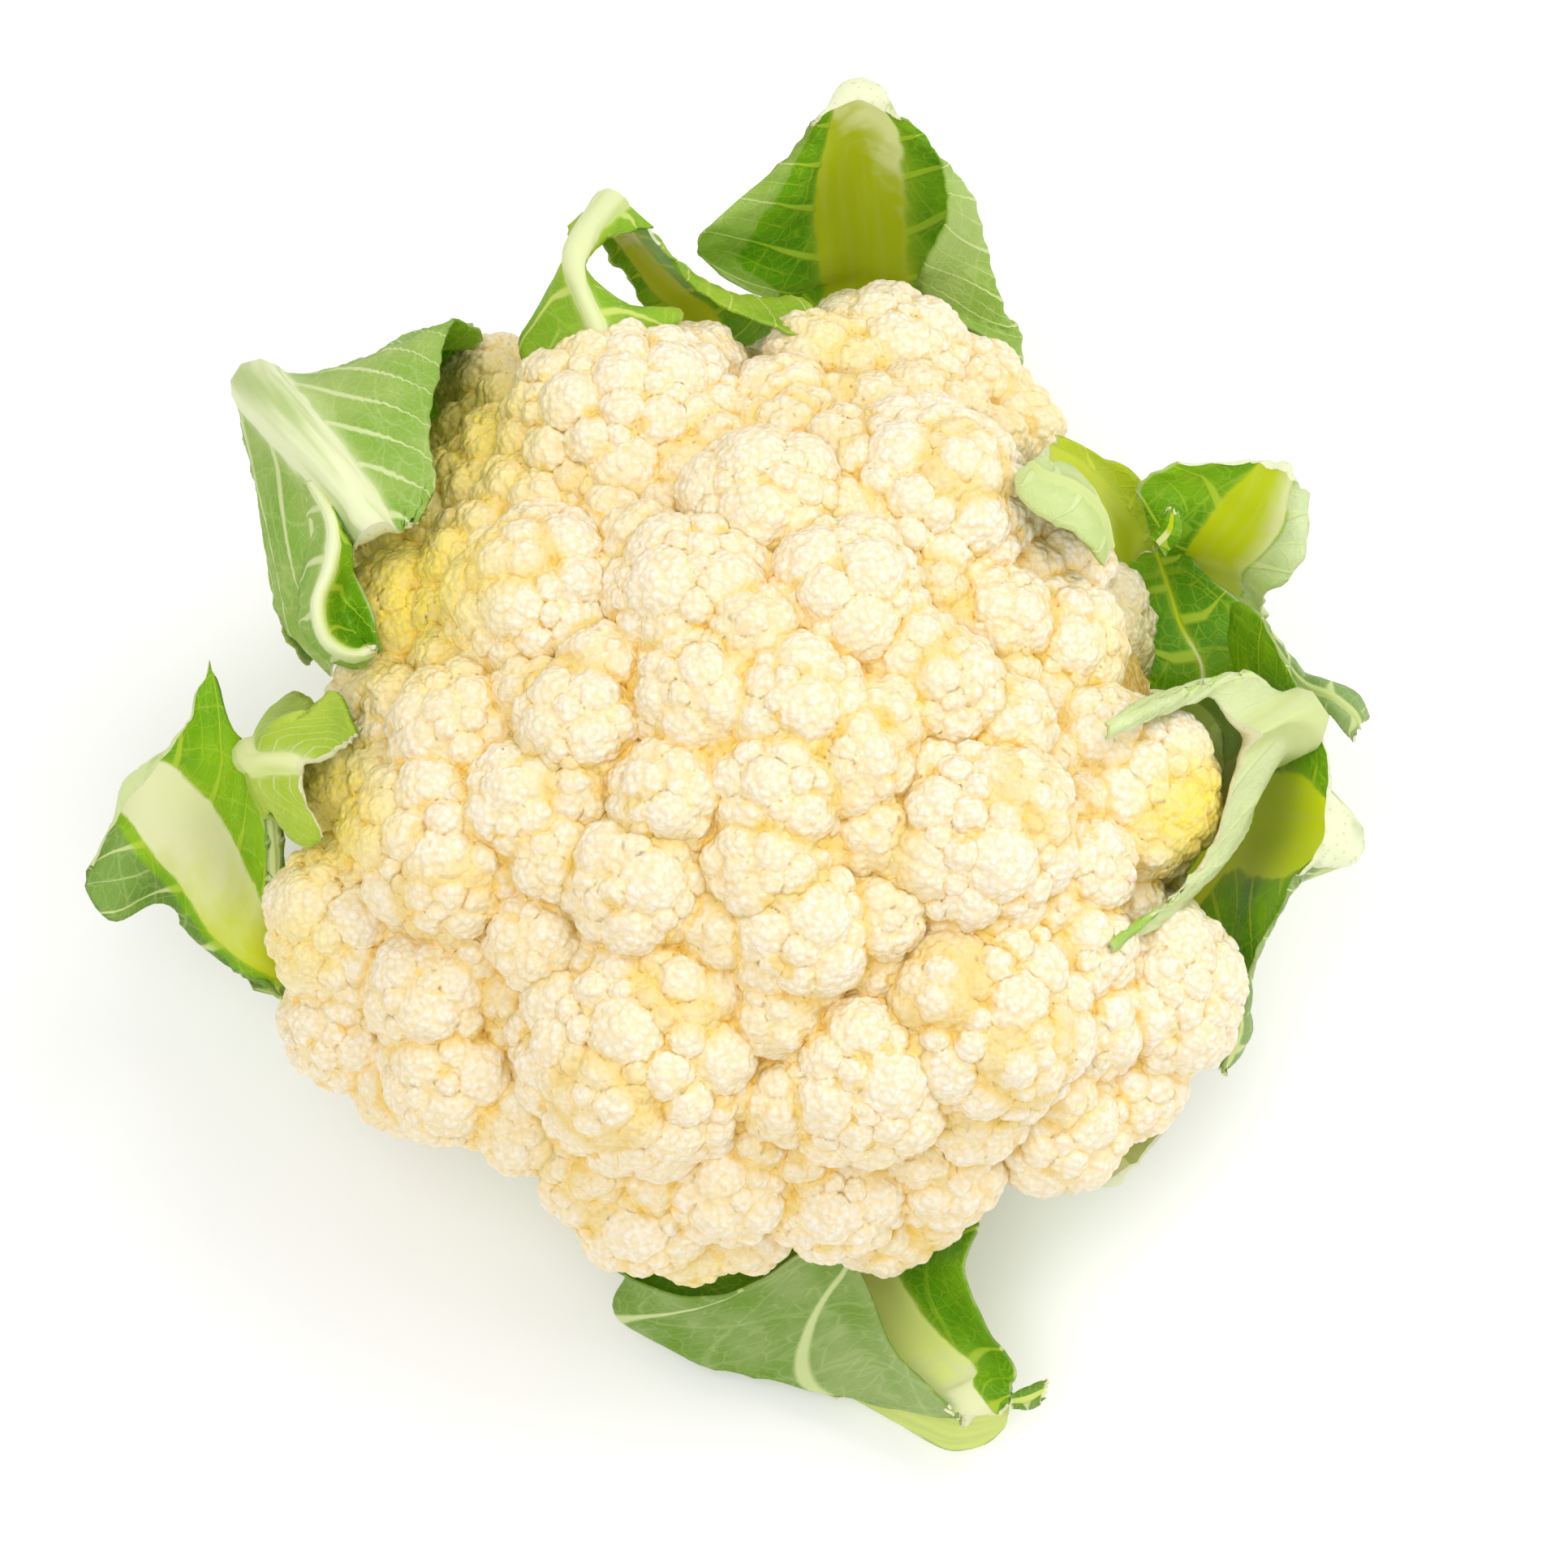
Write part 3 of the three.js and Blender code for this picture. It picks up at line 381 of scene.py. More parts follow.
LEAVES["leaf_left"] = (
    ({"turned": (1, 1.75, 0.55), "tear": 2.4},
     (12, 6, ((-23.9, -7.7, 8), (-55, -17, 11), (-78, -25, 22))), (
        (16, 6.5, (-87, -15, 46), (-88, -23, 41), (-90, -32, 38), (-90, -38, 35), (-86, -42, 33)),
        (16, 7, (-87.4, -12.4, 54), (-90.9, -15.5, 48), (-95.8, -25.5, 43), (-100.6, -31.5, 38),
         (-102.3, -28.1, 40)),
        (16, 7, (-90.1, 0, 64), (-94, -6.6, 58), (-100.6, -16, 53), (-106.3, -21.9, 47),
         (-109.4, -23.9, 47)),
        (15, 7, (-92.1, 8.2, 73), (-96.8, 0.7, 67), (-104.5, -8.9, 62), (-110.8, -16.2, 55),
         (-117.9, -27.3, 50)),
        (14, 7, (-95.2, 16.6, 80), (-100.3, 5.1, 73), (-108.3, -4.3, 68), (-114.2, -10.9, 60),
         (-122.5, -21.2, 53)),
        (12, 6, (-96.5, 23.1, 84), (-102.9, 7.9, 77), (-110.6, -1.9, 71), (-115.4, -8.3, 65),
         (-119, -16.7, 57)),
    )),
    ({"tear": 0.6, "ruffle": 0.6}, NO_STEM, (
        (1.2, 1.2, (-85.7, -7.7, 63), (-86.2, -7.4, 64), (-86.8, -7.1, 64), (-87.3, -7.1, 64),
         (-88, -7, 63)),
        (1.2, 1.2, (-85, -13.8, 60), (-85.7, -14.1, 61), (-86.6, -14.5, 61), (-87.2, -14.6, 61),
         (-87.7, -14.8, 60)),
        (1, 1.1, (-85.2, -21.1, 56), (-85.8, -21.4, 57), (-86.7, -21.8, 57), (-87.1, -21.9, 57),
         (-87.7, -22.1, 56)),
        (0.9, 1, (-86, -26.6, 53), (-86.3, -26.8, 53), (-86.7, -27.1, 53), (-87.2, -27.2, 53),
         (-87.5, -27.2, 53)),
    )),
)
LEAVES["leaf_front"] = (
    ({"vein_pitch": 21, "vein_lean": -0.4},
     (10, 5, ((8.4, -23.7, 8), (17, -50, 9), (22, -68, 10))), (
        (10, 5, (-27, -86, 24), (-13, -87, 14), (17, -86, 13), (30, -82, 22), (40, -77, 34)),
        (11, 5, (-12, -93, 26), (-26, -96, 12), (21, -92, 14), (31, -88, 24), (37, -87, 34)),
        (11, 5.5, (1, -90, 30), (-13, -106, 8), (27, -101, 15), (36, -98, 22), (40, -98, 28)),
        (12, 6, (14, -83, 34), (7, -110, 8), (34, -109, 17), (41, -105, 20), (45, -106, 24)),
        (11, 7, (25, -102, 26), (25, -114, 12), (33.9, -111.2, 18), (40.2, -108.2, 20),
         (45, -108.6, 24)),
        (9, 8, (35.4, -112.8, 22), (36.4, -114.7, 18), (40.2, -115.6, 18), (43.3, -114, 20),
         (44.5, -112.1, 22)),
    )),
    ({"outer_side": 2, "rib_spread": 0.4, "tear": 0.5, "ruffle": 0.2, "end_tear": 0.5, "pucker": 0},
     NO_STEM, (
        (30, 2, (14.7, -112.1, 7), (14.9, -111.5, 7.5), (15.2, -110.6, 8), (15.5, -109.4, 9),
         (15.7, -108, 11)),
        (30, 2.4, (22.1, -116.2, 6), (22.2, -115.4, 6.5), (22.5, -113.7, 8), (22.8, -111.2, 10),
         (23, -108, 13)),
        (30, 3, (29.9, -120.4, 5), (29.8, -119.5, 6), (30.1, -116.9, 9), (30.3, -113.4, 12),
         (30.5, -109.2, 15)),
        (30, 4, (35.4, -122.5, 6), (35.3, -121.5, 7), (35.5, -118.5, 11), (36.3, -114.7, 15),
         (37.1, -110.7, 18)),
        (30, 4, (41.2, -120.9, 8), (41.3, -119.9, 9), (41.9, -117.1, 13), (42.9, -113.4, 18),
         (43.6, -110, 21)),
        (30, 3, (44.5, -117.1, 13), (44.6, -116.5, 14), (44.8, -114.7, 17), (44.9, -112.6, 20),
         (45, -110.7, 22)),
    )),
    ({"tear": 0.4, "ruffle": 0.5, "outer_side": 2}, NO_STEM, (
        (1.5, 1.4, (45.4, -112.6, 22), (45.4, -112.2, 22), (45.3, -111.7, 22), (45.4, -111.1, 22),
         (45.7, -110.7, 22)),
        (1.2, 1.2, (48.1, -113.1, 23), (48, -112.1, 24), (48.1, -111, 24), (48.1, -109.9, 24),
         (48.2, -109.1, 23)),
        (0.8, 1, (51.2, -110.6, 25), (51.3, -109.8, 26), (51.5, -109, 26), (51.6, -108.2, 26),
         (51.9, -107.5, 26)),
    )),
)
LEAVES["leaf_front_right"] = (
    ({}, (9, 4.5, ((17.3, -18.2, 8), (38, -40, 10), (50, -56, 14))), (
        (9, 4, (47, -66, 22), (50, -66, 22), (56, -64, 22), (62, -60, 24), (69, -55, 28)),
        (8, 3, (45, -73, 28), (52, -73, 28), (60, -68, 28), (67, -64, 32), (72, -61, 36)),
        (7, 2.5, (53, -74, 32), (58, -74, 32), (64, -72, 33), (70, -68, 36), (73, -63, 40)),
    )),
)
LEAVES["leaf_right_large"] = (
    ({"vein_lean": 0.5}, (12, 6, ((24.9, -3.4, 8), (56, -7, 10), (78, -9, 20))), (
        (18, 6.5, (86, -52, 33), (86, -30, 34), (87, -10, 33), (88, 2, 40), (85, 16, 48)),
        (20, 7, (83.7, -42.4, 46), (87.7, -25.6, 50), (93, -10, 49), (93, 7, 56), (86.4, 31, 66)),
        (20, 7.5, (87.9, -36, 57), (92.8, -21.6, 62), (97, -10, 64), (97, 6, 69), (89.1, 30.8, 76)),
        (17, 8, (95.1, -19.6, 70), (96.7, -16.7, 72), (100, -10.4, 74), (101, -2.4, 76),
         (98.7, 7.9, 78)),
    )),
    ({"tear": 0.8, "outer_side": 2}, NO_STEM, (
        (2, 1.6, (93.4, 23, 60), (93, 25.2, 60), (92.5, 27.2, 60), (92.3, 28.4, 59),
         (92.2, 29.6, 58)),
        (2, 1.6, (98.6, 12.8, 62), (98.3, 15.1, 63), (98, 17.2, 64), (98.1, 18.7, 63),
         (98.2, 19.9, 61)),
        (1.8, 1.4, (103.3, 11, 64), (103.1, 12.7, 66), (103.2, 14.5, 67), (103.5, 15.7, 66),
         (104, 16.6, 64)),
        (1.4, 1.2, (106.2, 7.8, 60), (106.8, 9.2, 63), (107.5, 11, 65), (108, 12.1, 65),
         (108.8, 13.1, 63)),
        (1, 1, (107.9, 6.3, 58), (108.5, 7.2, 60), (109.2, 8.4, 61), (109.6, 9.1, 61),
         (109.9, 9.7, 60)),
    )),
    ({"tear": 0.8, "outer_side": 2}, NO_STEM, (
        (1.6, 1.4, (82.4, -40.1, 46), (83.5, -39.5, 47), (84.8, -38.9, 48), (86.7, -38, 47),
         (88.4, -37.3, 45)),
        (1.4, 1.3, (84.1, -45.3, 44), (85.1, -44.9, 46), (86.4, -44.6, 47), (87.7, -44.1, 46),
         (88.8, -43.6, 44)),
        (1.2, 1.2, (82.9, -50.3, 42), (83.9, -50.2, 44), (85.1, -49.9, 44), (86.7, -49.4, 43),
         (88, -48.6, 42)),
        (0.8, 1, (82.9, -54.4, 39), (83.3, -54, 40), (83.7, -53.5, 40), (84.2, -53, 40),
         (84.8, -52.5, 39)),
    )),
)
LEAVES["leaf_right_pale"] = (
    ({"tear": 0.8, "ruffle": 0.8, "end_tear": 1.2},
     (7, 3.5, ((24.3, 4.5, 18), (50, 6, 20), (72, 5, 32))), (
        (7, 3.5, (84, -13, 48), (85, -8, 50), (85, -1, 52), (85, 4, 56), (83, 7, 60)),
        (8, 5, (71.4, -26.2, 76), (85.7, -10.8, 68), (89.6, 4.4, 68), (86, 15.2, 76),
         (73.5, 15, 86)),
        (9, 8, (60.9, -28.6, 86), (81.3, -14.9, 78), (92.7, 8.6, 78), (87.4, 16.8, 84),
         (59.9, 9, 105)),
        (8, 8.5, (60.5, -29.9, 88), (80, -14.6, 80), (91.9, 10, 81), (85.7, 17.6, 87),
         (59.5, 7.6, 106)),
        (8, 7, (60, -30.5, 87), (78.2, -14, 81), (84.9, 6.1, 83), (80.1, 12.7, 88),
         (59.2, 6.1, 105)),
    )),
    ({"tear": 0.6, "ruffle": 0.5}, NO_STEM, (
        (3, 1.4, (83.1, -8, 60), (81.2, -5.1, 58), (78.6, -1.5, 56), (75.8, 1.5, 56),
         (72, 3.7, 58)),
        (3, 1.4, (84.1, 7.3, 64), (79.9, 8.4, 62), (74.3, 9.3, 60), (68.4, 9.9, 60),
         (63.8, 10.4, 62)),
        (2.4, 1.2, (79.4, 15.9, 70), (73.8, 15.9, 68), (68.1, 15.4, 66), (62.2, 14.2, 66),
         (57, 12.7, 68)),
    )),
)
LEAVES["leaf_right"] = (
    ({"turned": (-1, 1.0, 0.42)}, (12, 6, ((22.4, 12.1, 8), (52, 30, 9), (74, 42, 17))), (
        (15, 6, (91, 23, 30), (88, 25, 28), (80, 27, 27), (76, 33, 27), (74, 35, 28)),
        (15, 6.5, (94, 29, 50), (92, 33, 48), (84, 35, 46), (77, 40, 48), (75, 43, 50)),
        (14, 7, (93.4, 32.3, 64), (90.3, 36, 66), (83.7, 39.5, 67), (76.1, 42.4, 70),
         (71.3, 44.7, 72)),
        (13, 7, (99.4, 38.9, 74), (95.9, 42.6, 78), (89.8, 47, 79), (80, 52.1, 80),
         (68.4, 52.6, 82)),
        (11, 6, (100.3, 50.1, 82), (97.4, 52.6, 86), (93.4, 55.8, 87), (89, 56.8, 86),
         (75.2, 56.5, 86)),
    )),
    ({"ruffle": 1.2, "tear": 1.2}, NO_STEM, (
        (0.5, 1, (92.9, 16.2, 54), (88.7, 13.3, 50), (81.4, 11.2, 48), (72.6, 10, 46),
         (65.5, 9.4, 44)),
        (0.5, 1, (92.8, 23.6, 58), (88.5, 21.9, 56), (81.2, 20.1, 54), (72.4, 19, 52),
         (65.1, 18.4, 50)),
        (0.5, 1, (90.6, 29.6, 60), (84.1, 28.4, 58), (77.6, 27.3, 56), (70.7, 26.1, 54),
         (63.9, 24.7, 52)),
        (0.5, 1, (82.6, 36.7, 62), (79, 36.2, 60), (75.1, 35.4, 58), (69.9, 34.3, 56),
         (64.8, 32.9, 55)),
        (0.5, 1, (77, 43.3, 64), (74.7, 43.1, 63), (72.4, 42.5, 62), (69.8, 41.4, 60),
         (67.5, 40, 58)),
    )),
    ({"tear": 0.5, "ruffle": 0.4}, NO_STEM, (
        (1.2, 1.4, (72.7, 39.6, 84), (72, 40.4, 85), (71.3, 41.3, 85), (70.8, 41.9, 85),
         (70.3, 42.6, 84)),
        (1.2, 1.3, (74.8, 42.7, 87), (74, 43.2, 88), (73.3, 43.8, 88), (72.8, 44.4, 88),
         (72.3, 44.9, 87)),
        (0.8, 1, (74.7, 47, 90), (74.3, 47.1, 90), (73.9, 47.4, 90), (73.4, 47.6, 90),
         (73.2, 47.7, 90)),
    )),
)
LEAVES["leaf_right_upper"] = (
    ({}, (11, 5.5, ((17.5, 17.5, 16), (43, 39, 18), (61, 49, 30))), (
        (13, 5.5, (75.1, 23.7, 33), (73, 22.8, 33), (70.2, 21.8, 35), (66.9, 21.7, 40),
         (64.3, 22.4, 46)),
        (13, 5, (77.6, 32.5, 46), (74.6, 31.8, 46), (69.8, 30.6, 48), (65.4, 29.8, 54),
         (62.4, 30.1, 62)),
        (13, 4.5, (75, 45.4, 60), (72.1, 44.2, 59), (67.3, 41.6, 62), (63, 38.3, 70),
         (60.4, 37.1, 80)),
        (12, 4, (70.9, 52.5, 73), (67.9, 50.5, 72), (63.4, 46.7, 75), (60, 43.6, 84),
         (58.2, 42.4, 93)),
        (10, 3.6, (62.4, 58.3, 86), (60.6, 56.3, 85), (57.7, 52.7, 88), (55.4, 49.9, 95),
         (54.1, 48.4, 101)),
        (8, 3.2, (52.3, 61.6, 94), (52, 59.6, 94), (51.5, 57.3, 96), (50.9, 54.7, 101),
         (50.4, 52.9, 105)),
    )),
    ({"tear": 1.0, "ruffle": 1.4, "vein_pitch": 9}, NO_STEM, (
        (1.6, 1.8, (59.7, 35.6, 100), (60.3, 37.3, 101), (60.7, 39.7, 100), (61.1, 42.8, 96),
         (60.9, 45.2, 90)),
        (1.6, 1.8, (56.4, 40.4, 108), (57.8, 43, 108), (58.9, 45.7, 106), (59.4, 48.7, 100),
         (58.8, 50.7, 92)),
        (1.6, 1.8, (51.5, 43.9, 112), (53.1, 46.8, 112), (54.6, 49.5, 110), (55.2, 52, 104),
         (54.7, 54, 96)),
        (1.6, 1.8, (46.5, 46.5, 112), (47.6, 49, 113), (49.2, 51.5, 111), (50.3, 53.7, 107),
         (50.6, 55.5, 100)),
        (1.4, 1.6, (44.4, 51.6, 110), (45.4, 52.5, 111), (47.1, 53.9, 110), (49, 55.6, 107),
         (50.8, 57.7, 102)),
    )),
)
LEAVES["leaf_front_left"] = (
    ({}, (11, 5, ((-15, -20.2, 8), (-30, -42, 11), (-38, -52, 17))), (
        (12, 5, (-54, -56, 24), (-49, -60, 22), (-42, -66, 20), (-33, -68, 22), (-27, -69, 24)),
        (11, 4.5, (-54, -56, 30), (-50, -60, 28), (-44, -65, 26), (-38, -68, 28), (-33, -69, 30)),
    )),
)

# ---- the leaves' colours -----------------------------------------------------

# "inner" is the leaf's face toward the head, "outer" its back. The rib turns pale toward its end.
LEAF_LOOK = {
    "inner": (0.22, 0.46, 0.006), "inner_dark": (0.09, 0.29, 0.003),
    "inner_vein": (0.46, 0.62, 0.04), "outer": (0.38, 0.52, 0.13), "outer_dark": (0.26, 0.42, 0.05),
    "outer_vein": (0.66, 0.74, 0.34), "rib": (0.56, 0.64, 0.005), "rib_end": (0.82, 0.85, 0.48),
    "outer_rib": (0.62, 0.69, 0.28), "cut": (0.80, 0.83, 0.55), "cut_dot": (0.58, 0.64, 0.28),
    "forks": 0.5, "streak": 0.5, "pale_from": 0.86, "pale_width": 0.1, "pale_lean": 0.0}
LEAF_COLOURS = {
    "leaf_back": {
        "rib": (0.52, 0.60, 0.004), "rib_end": (0.88, 0.92, 0.46), "pale_from": 0.88,
        "pale_width": 0.14, "pale_lean": -0.012},
    "leaf_back_small": {
        "outer": (0.36, 0.52, 0.03), "outer_dark": (0.22, 0.42, 0.015),
        "outer_vein": (0.60, 0.70, 0.16), "outer_rib": (0.74, 0.79, 0.42)},
    "leaf_left_upper": {
        "outer": (0.37, 0.50, 0.12), "outer_dark": (0.22, 0.40, 0.04),
        "outer_vein": (0.66, 0.74, 0.36), "rib": (0.58, 0.71, 0.20),
        "outer_rib": (0.80, 0.84, 0.52), "forks": 0.25, "streak": 0.75},
    "leaf_left_small": {
        "outer": (0.50, 0.62, 0.06), "outer_dark": (0.36, 0.52, 0.02),
        "outer_vein": (0.62, 0.71, 0.24), "outer_rib": (0.78, 0.82, 0.38)},
    "leaf_left": {
        "inner": (0.30, 0.54, 0.006), "inner_dark": (0.16, 0.39, 0.004),
        "outer": (0.20, 0.34, 0.06), "outer_dark": (0.12, 0.24, 0.03), "rib": (0.62, 0.70, 0.015),
        "cut": (0.66, 0.76, 0.34), "pale_from": 0.6, "pale_width": 0.3, "pale_lean": -0.01},
    "leaf_right_large": {
        "outer": (0.34, 0.44, 0.18), "outer_dark": (0.22, 0.34, 0.10), "rib": (0.76, 0.86, 0.012),
        "pale_from": 1.1},
    "leaf_right_pale": {
        "inner": (0.56, 0.72, 0.28), "inner_dark": (0.32, 0.53, 0.08), "outer": (0.70, 0.77, 0.42),
        "outer_dark": (0.60, 0.67, 0.34), "rib": (0.72, 0.76, 0.28), "cut": (0.84, 0.83, 0.56)},
    "leaf_right": {
        "outer": (0.66, 0.74, 0.42), "outer_dark": (0.50, 0.62, 0.26), "rib": (0.54, 0.64, 0.006),
        "pale_from": 0.95, "pale_width": 0.35, "pale_lean": -0.055},
    "leaf_right_upper": {
        "inner": (0.50, 0.58, 0.02), "inner_dark": (0.42, 0.51, 0.012),
        "inner_vein": (0.56, 0.64, 0.05), "outer": (0.60, 0.70, 0.30),
        "outer_dark": (0.48, 0.60, 0.18), "rib": (0.52, 0.60, 0.012), "forks": 0.2,
        "pale_from": 1.1},
    "leaf_front": {
        "inner": (0.18, 0.40, 0.006), "inner_dark": (0.10, 0.30, 0.003),
        "outer": (0.30, 0.41, 0.13), "outer_dark": (0.15, 0.29, 0.02), "rib": (0.86, 0.94, 0.28),
        "outer_rib": (0.66, 0.75, 0.20), "cut": (0.82, 0.82, 0.50), "cut_dot": (0.62, 0.48, 0.24),
        "forks": 0.15, "streak": 0.25, "pale_from": 0.8},
    "leaf_front_right": {
        "inner": (0.62, 0.66, 0.34), "inner_dark": (0.56, 0.60, 0.26), "outer": (0.66, 0.70, 0.40)},
}

# ---- how fine the textures are, in features to the metre ---------------------

CURD_GRAINS = 740.0
CURD_CLOUDS = 45.0
CURD_SPECKS = 90.0
STALK_FIBRES = (260.0, 260.0, 22.0)
STALK_CLOUDS = 60.0
STALK_GRAINS = 900.0
STALK_BUNDLES = 420.0
LEAF_CLOUDS = 55.0
FLOOR_CLOUDS = 3.0
# On a leaf's layout, in features to the millimetre.
LARGE_NET = 0.34
FINE_NET = 0.9
RIB_STREAKS = (0.5, 0.03, 1.0)
BLOTCHES = 0.16
CUT_DOTS = 0.75

# ---- the stage's measures, in metres and watts -------------------------------

FLOOR_SHADES = ((0.93, 0.93, 0.93), (0.96, 0.96, 0.955))
FLOOR_ROUGHNESS = 0.7
FLOOR_EMISSION = 0.13
WHITE = (1.0, 1.0, 1.0, 1.0)
WORLD_STRENGTH = 0.66
# Each light: name, place, diameter and power. All aim at one point.
STUDIO_LIGHTS = (
    ("key_light", (0.5, 0.4, 1.15), 0.7, 4.6),
    ("front_light", (-0.3, -0.5, 1.2), 0.8, 4.9),
    ("right_light", (1.1, -0.1, 0.5), 0.8, 2.0),
)
LIGHTS_AIM = (0.0, 0.0, 0.05)
SENSOR_WIDTH_MM = 36.0
# The camera aims this far to the right of the head's middle and above it.
AIM_RIGHT = 0.00456
AIM_UP = -0.00162


# ---- common helpers ----------------------------------------------------------

def unit(vectors):
    """The vectors at length one."""
    return vectors / np.linalg.norm(vectors, axis=-1, keepdims=True)


def smooth_step(low, high, values):
    """0 at low, 1 at high, easing in and out between them."""
    share = np.clip((values - low) / (high - low), 0.0, 1.0)
    return share * share * (3 - 2 * share)


def scatter(index):
    """A repeatable number between 0 and 1 for a whole number."""
    value = math.sin(index * 12.9898) * 43758.5453
    return value - math.floor(value)


def lerp(low, high, share):
    """The value at a share of the way from low to high."""
    return low + (high - low) * share


def points_tree(points):
    """A tree that finds the nearest of the points."""
    tree = KDTree(len(points))
    for index, point in enumerate(points):
        tree.insert(point, index)
    tree.balance()
    return tree


def join_shapes(shapes):
    """One shape from several, each given as its points, faces and layers of values."""
    offsets = np.cumsum([0] + [len(points) for points, _, _ in shapes])
    points = np.concatenate([points for points, _, _ in shapes])
    faces = np.vstack([faces + offset for (_, faces, _), offset in zip(shapes, offsets)])
    layers = {key: np.concatenate([layers[key] for _, _, layers in shapes]) for key in shapes[0][2]}
    return points, faces, layers


def add_piece(name, shape, material, nodes):
    """A mesh object from points in millimetres, standing for CAD nodes and riding on the body."""
    points, faces, layers = shape
    mesh = bpy.data.meshes.new(name)
    mesh.vertices.add(len(points))
    mesh.vertices.foreach_set("co", (np.asarray(points) * MM).astype(np.float32).ravel())
    faces = np.asarray(faces, dtype=np.int32)
    mesh.loops.add(faces.size)
    mesh.loops.foreach_set("vertex_index", faces.ravel())
    mesh.polygons.add(len(faces))
    starts = np.arange(0, faces.size, faces.shape[1], dtype=np.int32)
    mesh.polygons.foreach_set("loop_start", starts)
    mesh.update(calc_edges=True)
    mesh.validate()
    for key, values in layers.items():
        values = np.asarray(values, dtype=np.float32)
        kind, field = ("FLOAT_VECTOR", "vector") if values.ndim == 2 else ("FLOAT", "value")
        mesh.attributes.new(key, kind, "POINT").data.foreach_set(field, values.ravel())
    mesh.shade_smooth()
    piece = bpy.data.objects.new(name, mesh)
    bpy.context.scene.collection.objects.link(piece)
    piece.data.materials.append(material)
    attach(piece, "root")
    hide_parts(*nodes)


# ---- where the florets are ---------------------------------------------------

def width_factor(y):
    """How much wider or narrower the head is at a distance back from its middle."""
    return 1 - HEAD_TAPER * y / HEAD_HALF_DEPTH


def shell_halves(z, shrink):
    """The shell's half width, half depth and half height above or below its middle."""
    vertical = HEAD_RISE if z >= 0 else HEAD_DROP
    return np.array([HEAD_HALF_WIDTH - shrink, HEAD_HALF_DEPTH - shrink, vertical - shrink])


def tapered_halves(offset):
    """The shell's half sizes at a point, given from the head's middle."""
    halves = shell_halves(offset[2], 0)
    halves[0] *= width_factor(offset[1])
    return halves


def shell_normal(offset):
    """The direction out of the shell at a point, given from the head's middle."""
    halves = tapered_halves(offset)
    return unit(offset / halves / halves)


def meet_shell(across, along):
    """Where a line square to the plan leaves the shell; the rim if it misses."""
    start = np.array([across, 0.0, 0.0]) + along * PLAN_UP
    offset = start.copy()
    for _ in range(SHELL_ROUNDS):
        halves = tapered_halves(offset)
        base = start / halves
        step = PLAN_OUT / halves
        middle = -base.dot(step) / step.dot(step)
        spread = middle * middle - (base.dot(base) - 1) / step.dot(step)
        offset = start + PLAN_OUT * (middle + math.sqrt(max(spread, 0.0)))
    return offset


def planned_florets():
    """Centre, outward axis and radius of every floret in the plan, from the head's middle."""
    florets, plan = [], []
    for across, along, plan_radius, lift in FLORETS:
        radius = plan_radius * (SMALL_SWELL if plan_radius < SMALL_FLORET else FLORET_SWELL)
        floret = None
        for (left, up), (host, _, size) in zip(plan, florets):
            reach = size - HOST_SINK * radius
            aside = np.array([across - left, along - up])
            if size > HOST_RATIO * radius and np.hypot(*aside) < HOST_REACH * reach:
                out = math.sqrt(reach * reach - aside.dot(aside))
                normal = unit(np.array([aside[0], 0.0, 0.0]) + PLAN_UP * aside[1] + PLAN_OUT * out)
                floret = (host + normal * reach, normal, radius)
                break
        if floret is None:
            offset = meet_shell(across, along)
            floret = (offset + PLAN_OUT * (lift - radius), shell_normal(offset), radius)
        florets.append(floret)
        plan.append((across, along))
    return florets


def gap_florets(florets):
    """Small florets for the gaps that the plan leaves, the deepest gap first."""
    found = []
    line = np.arange(-GAP_SEARCH, GAP_SEARCH, GAP_GRID)
    across, along = np.meshgrid(line, line, indexing="ij")
    tops = np.full(across.shape, -np.inf)

    def cover(centre, radius):
        """Raises the tops to those of one ball."""
        spread = radius * radius - (across - centre[0]) ** 2 - (along - centre.dot(PLAN_UP)) ** 2
        top = centre.dot(PLAN_OUT) + np.sqrt(np.maximum(spread, 0))
        np.maximum(tops, np.where(spread > 0, top, -np.inf), out=tops)

    for centre, _, radius in florets:
        cover(centre, radius)
    step = int(round(GAP_RING / GAP_GRID))
    slant = int(round(GAP_RING / GAP_GRID * math.sqrt(0.5)))
    ring = [(step, 0), (-step, 0), (0, step), (0, -step),
            (slant, slant), (slant, -slant), (-slant, slant), (-slant, -slant)]
    while len(found) < GAP_MOST:
        depth = np.mean([np.roll(tops, shift, axis=(0, 1)) for shift in ring], axis=0) - tops
        depth[~np.isfinite(depth)] = 0
        spot = np.unravel_index(depth.argmax(), depth.shape)
        if depth[spot] < GAP_DEPTH:
            break
        place = np.array([across[spot], 0.0, 0.0]) + along[spot] * PLAN_UP
        centre = place + PLAN_OUT * (tops[spot] + GAP_FILL * depth[spot] - GAP_RADIUS)
        found.append((centre, shell_normal(meet_shell(across[spot], along[spot])), GAP_RADIUS))
        cover(centre, GAP_RADIUS)
    return found


def all_florets():
    """The planned florets and those that fill gaps, the back and the underside."""
    florets = planned_florets()
    florets += gap_florets(florets)
    for index in range(FILL_TRIES):
        height = 1 - 2 * (index + 0.5) / FILL_TRIES
        ring = math.sqrt(1 - height * height)
        turn = index * GOLDEN_ANGLE
        radius = lerp(*FILL_RADIUS, scatter(index + 1))
        centre = np.array([math.cos(turn) * ring, math.sin(turn) * ring, height])
        centre = centre * shell_halves(height, radius + FILL_SINK)
        centre[0] *= width_factor(centre[1])
        normal = shell_normal(centre)
        if normal[2] < FILL_LOWEST_NORMAL or normal.dot(PLAN_OUT) > 0:
            continue
        if all(np.linalg.norm(other - centre) >= FILL_SPACING * (size + radius)
               for other, _, size in florets):
            florets.append((centre, normal, radius))
    return florets


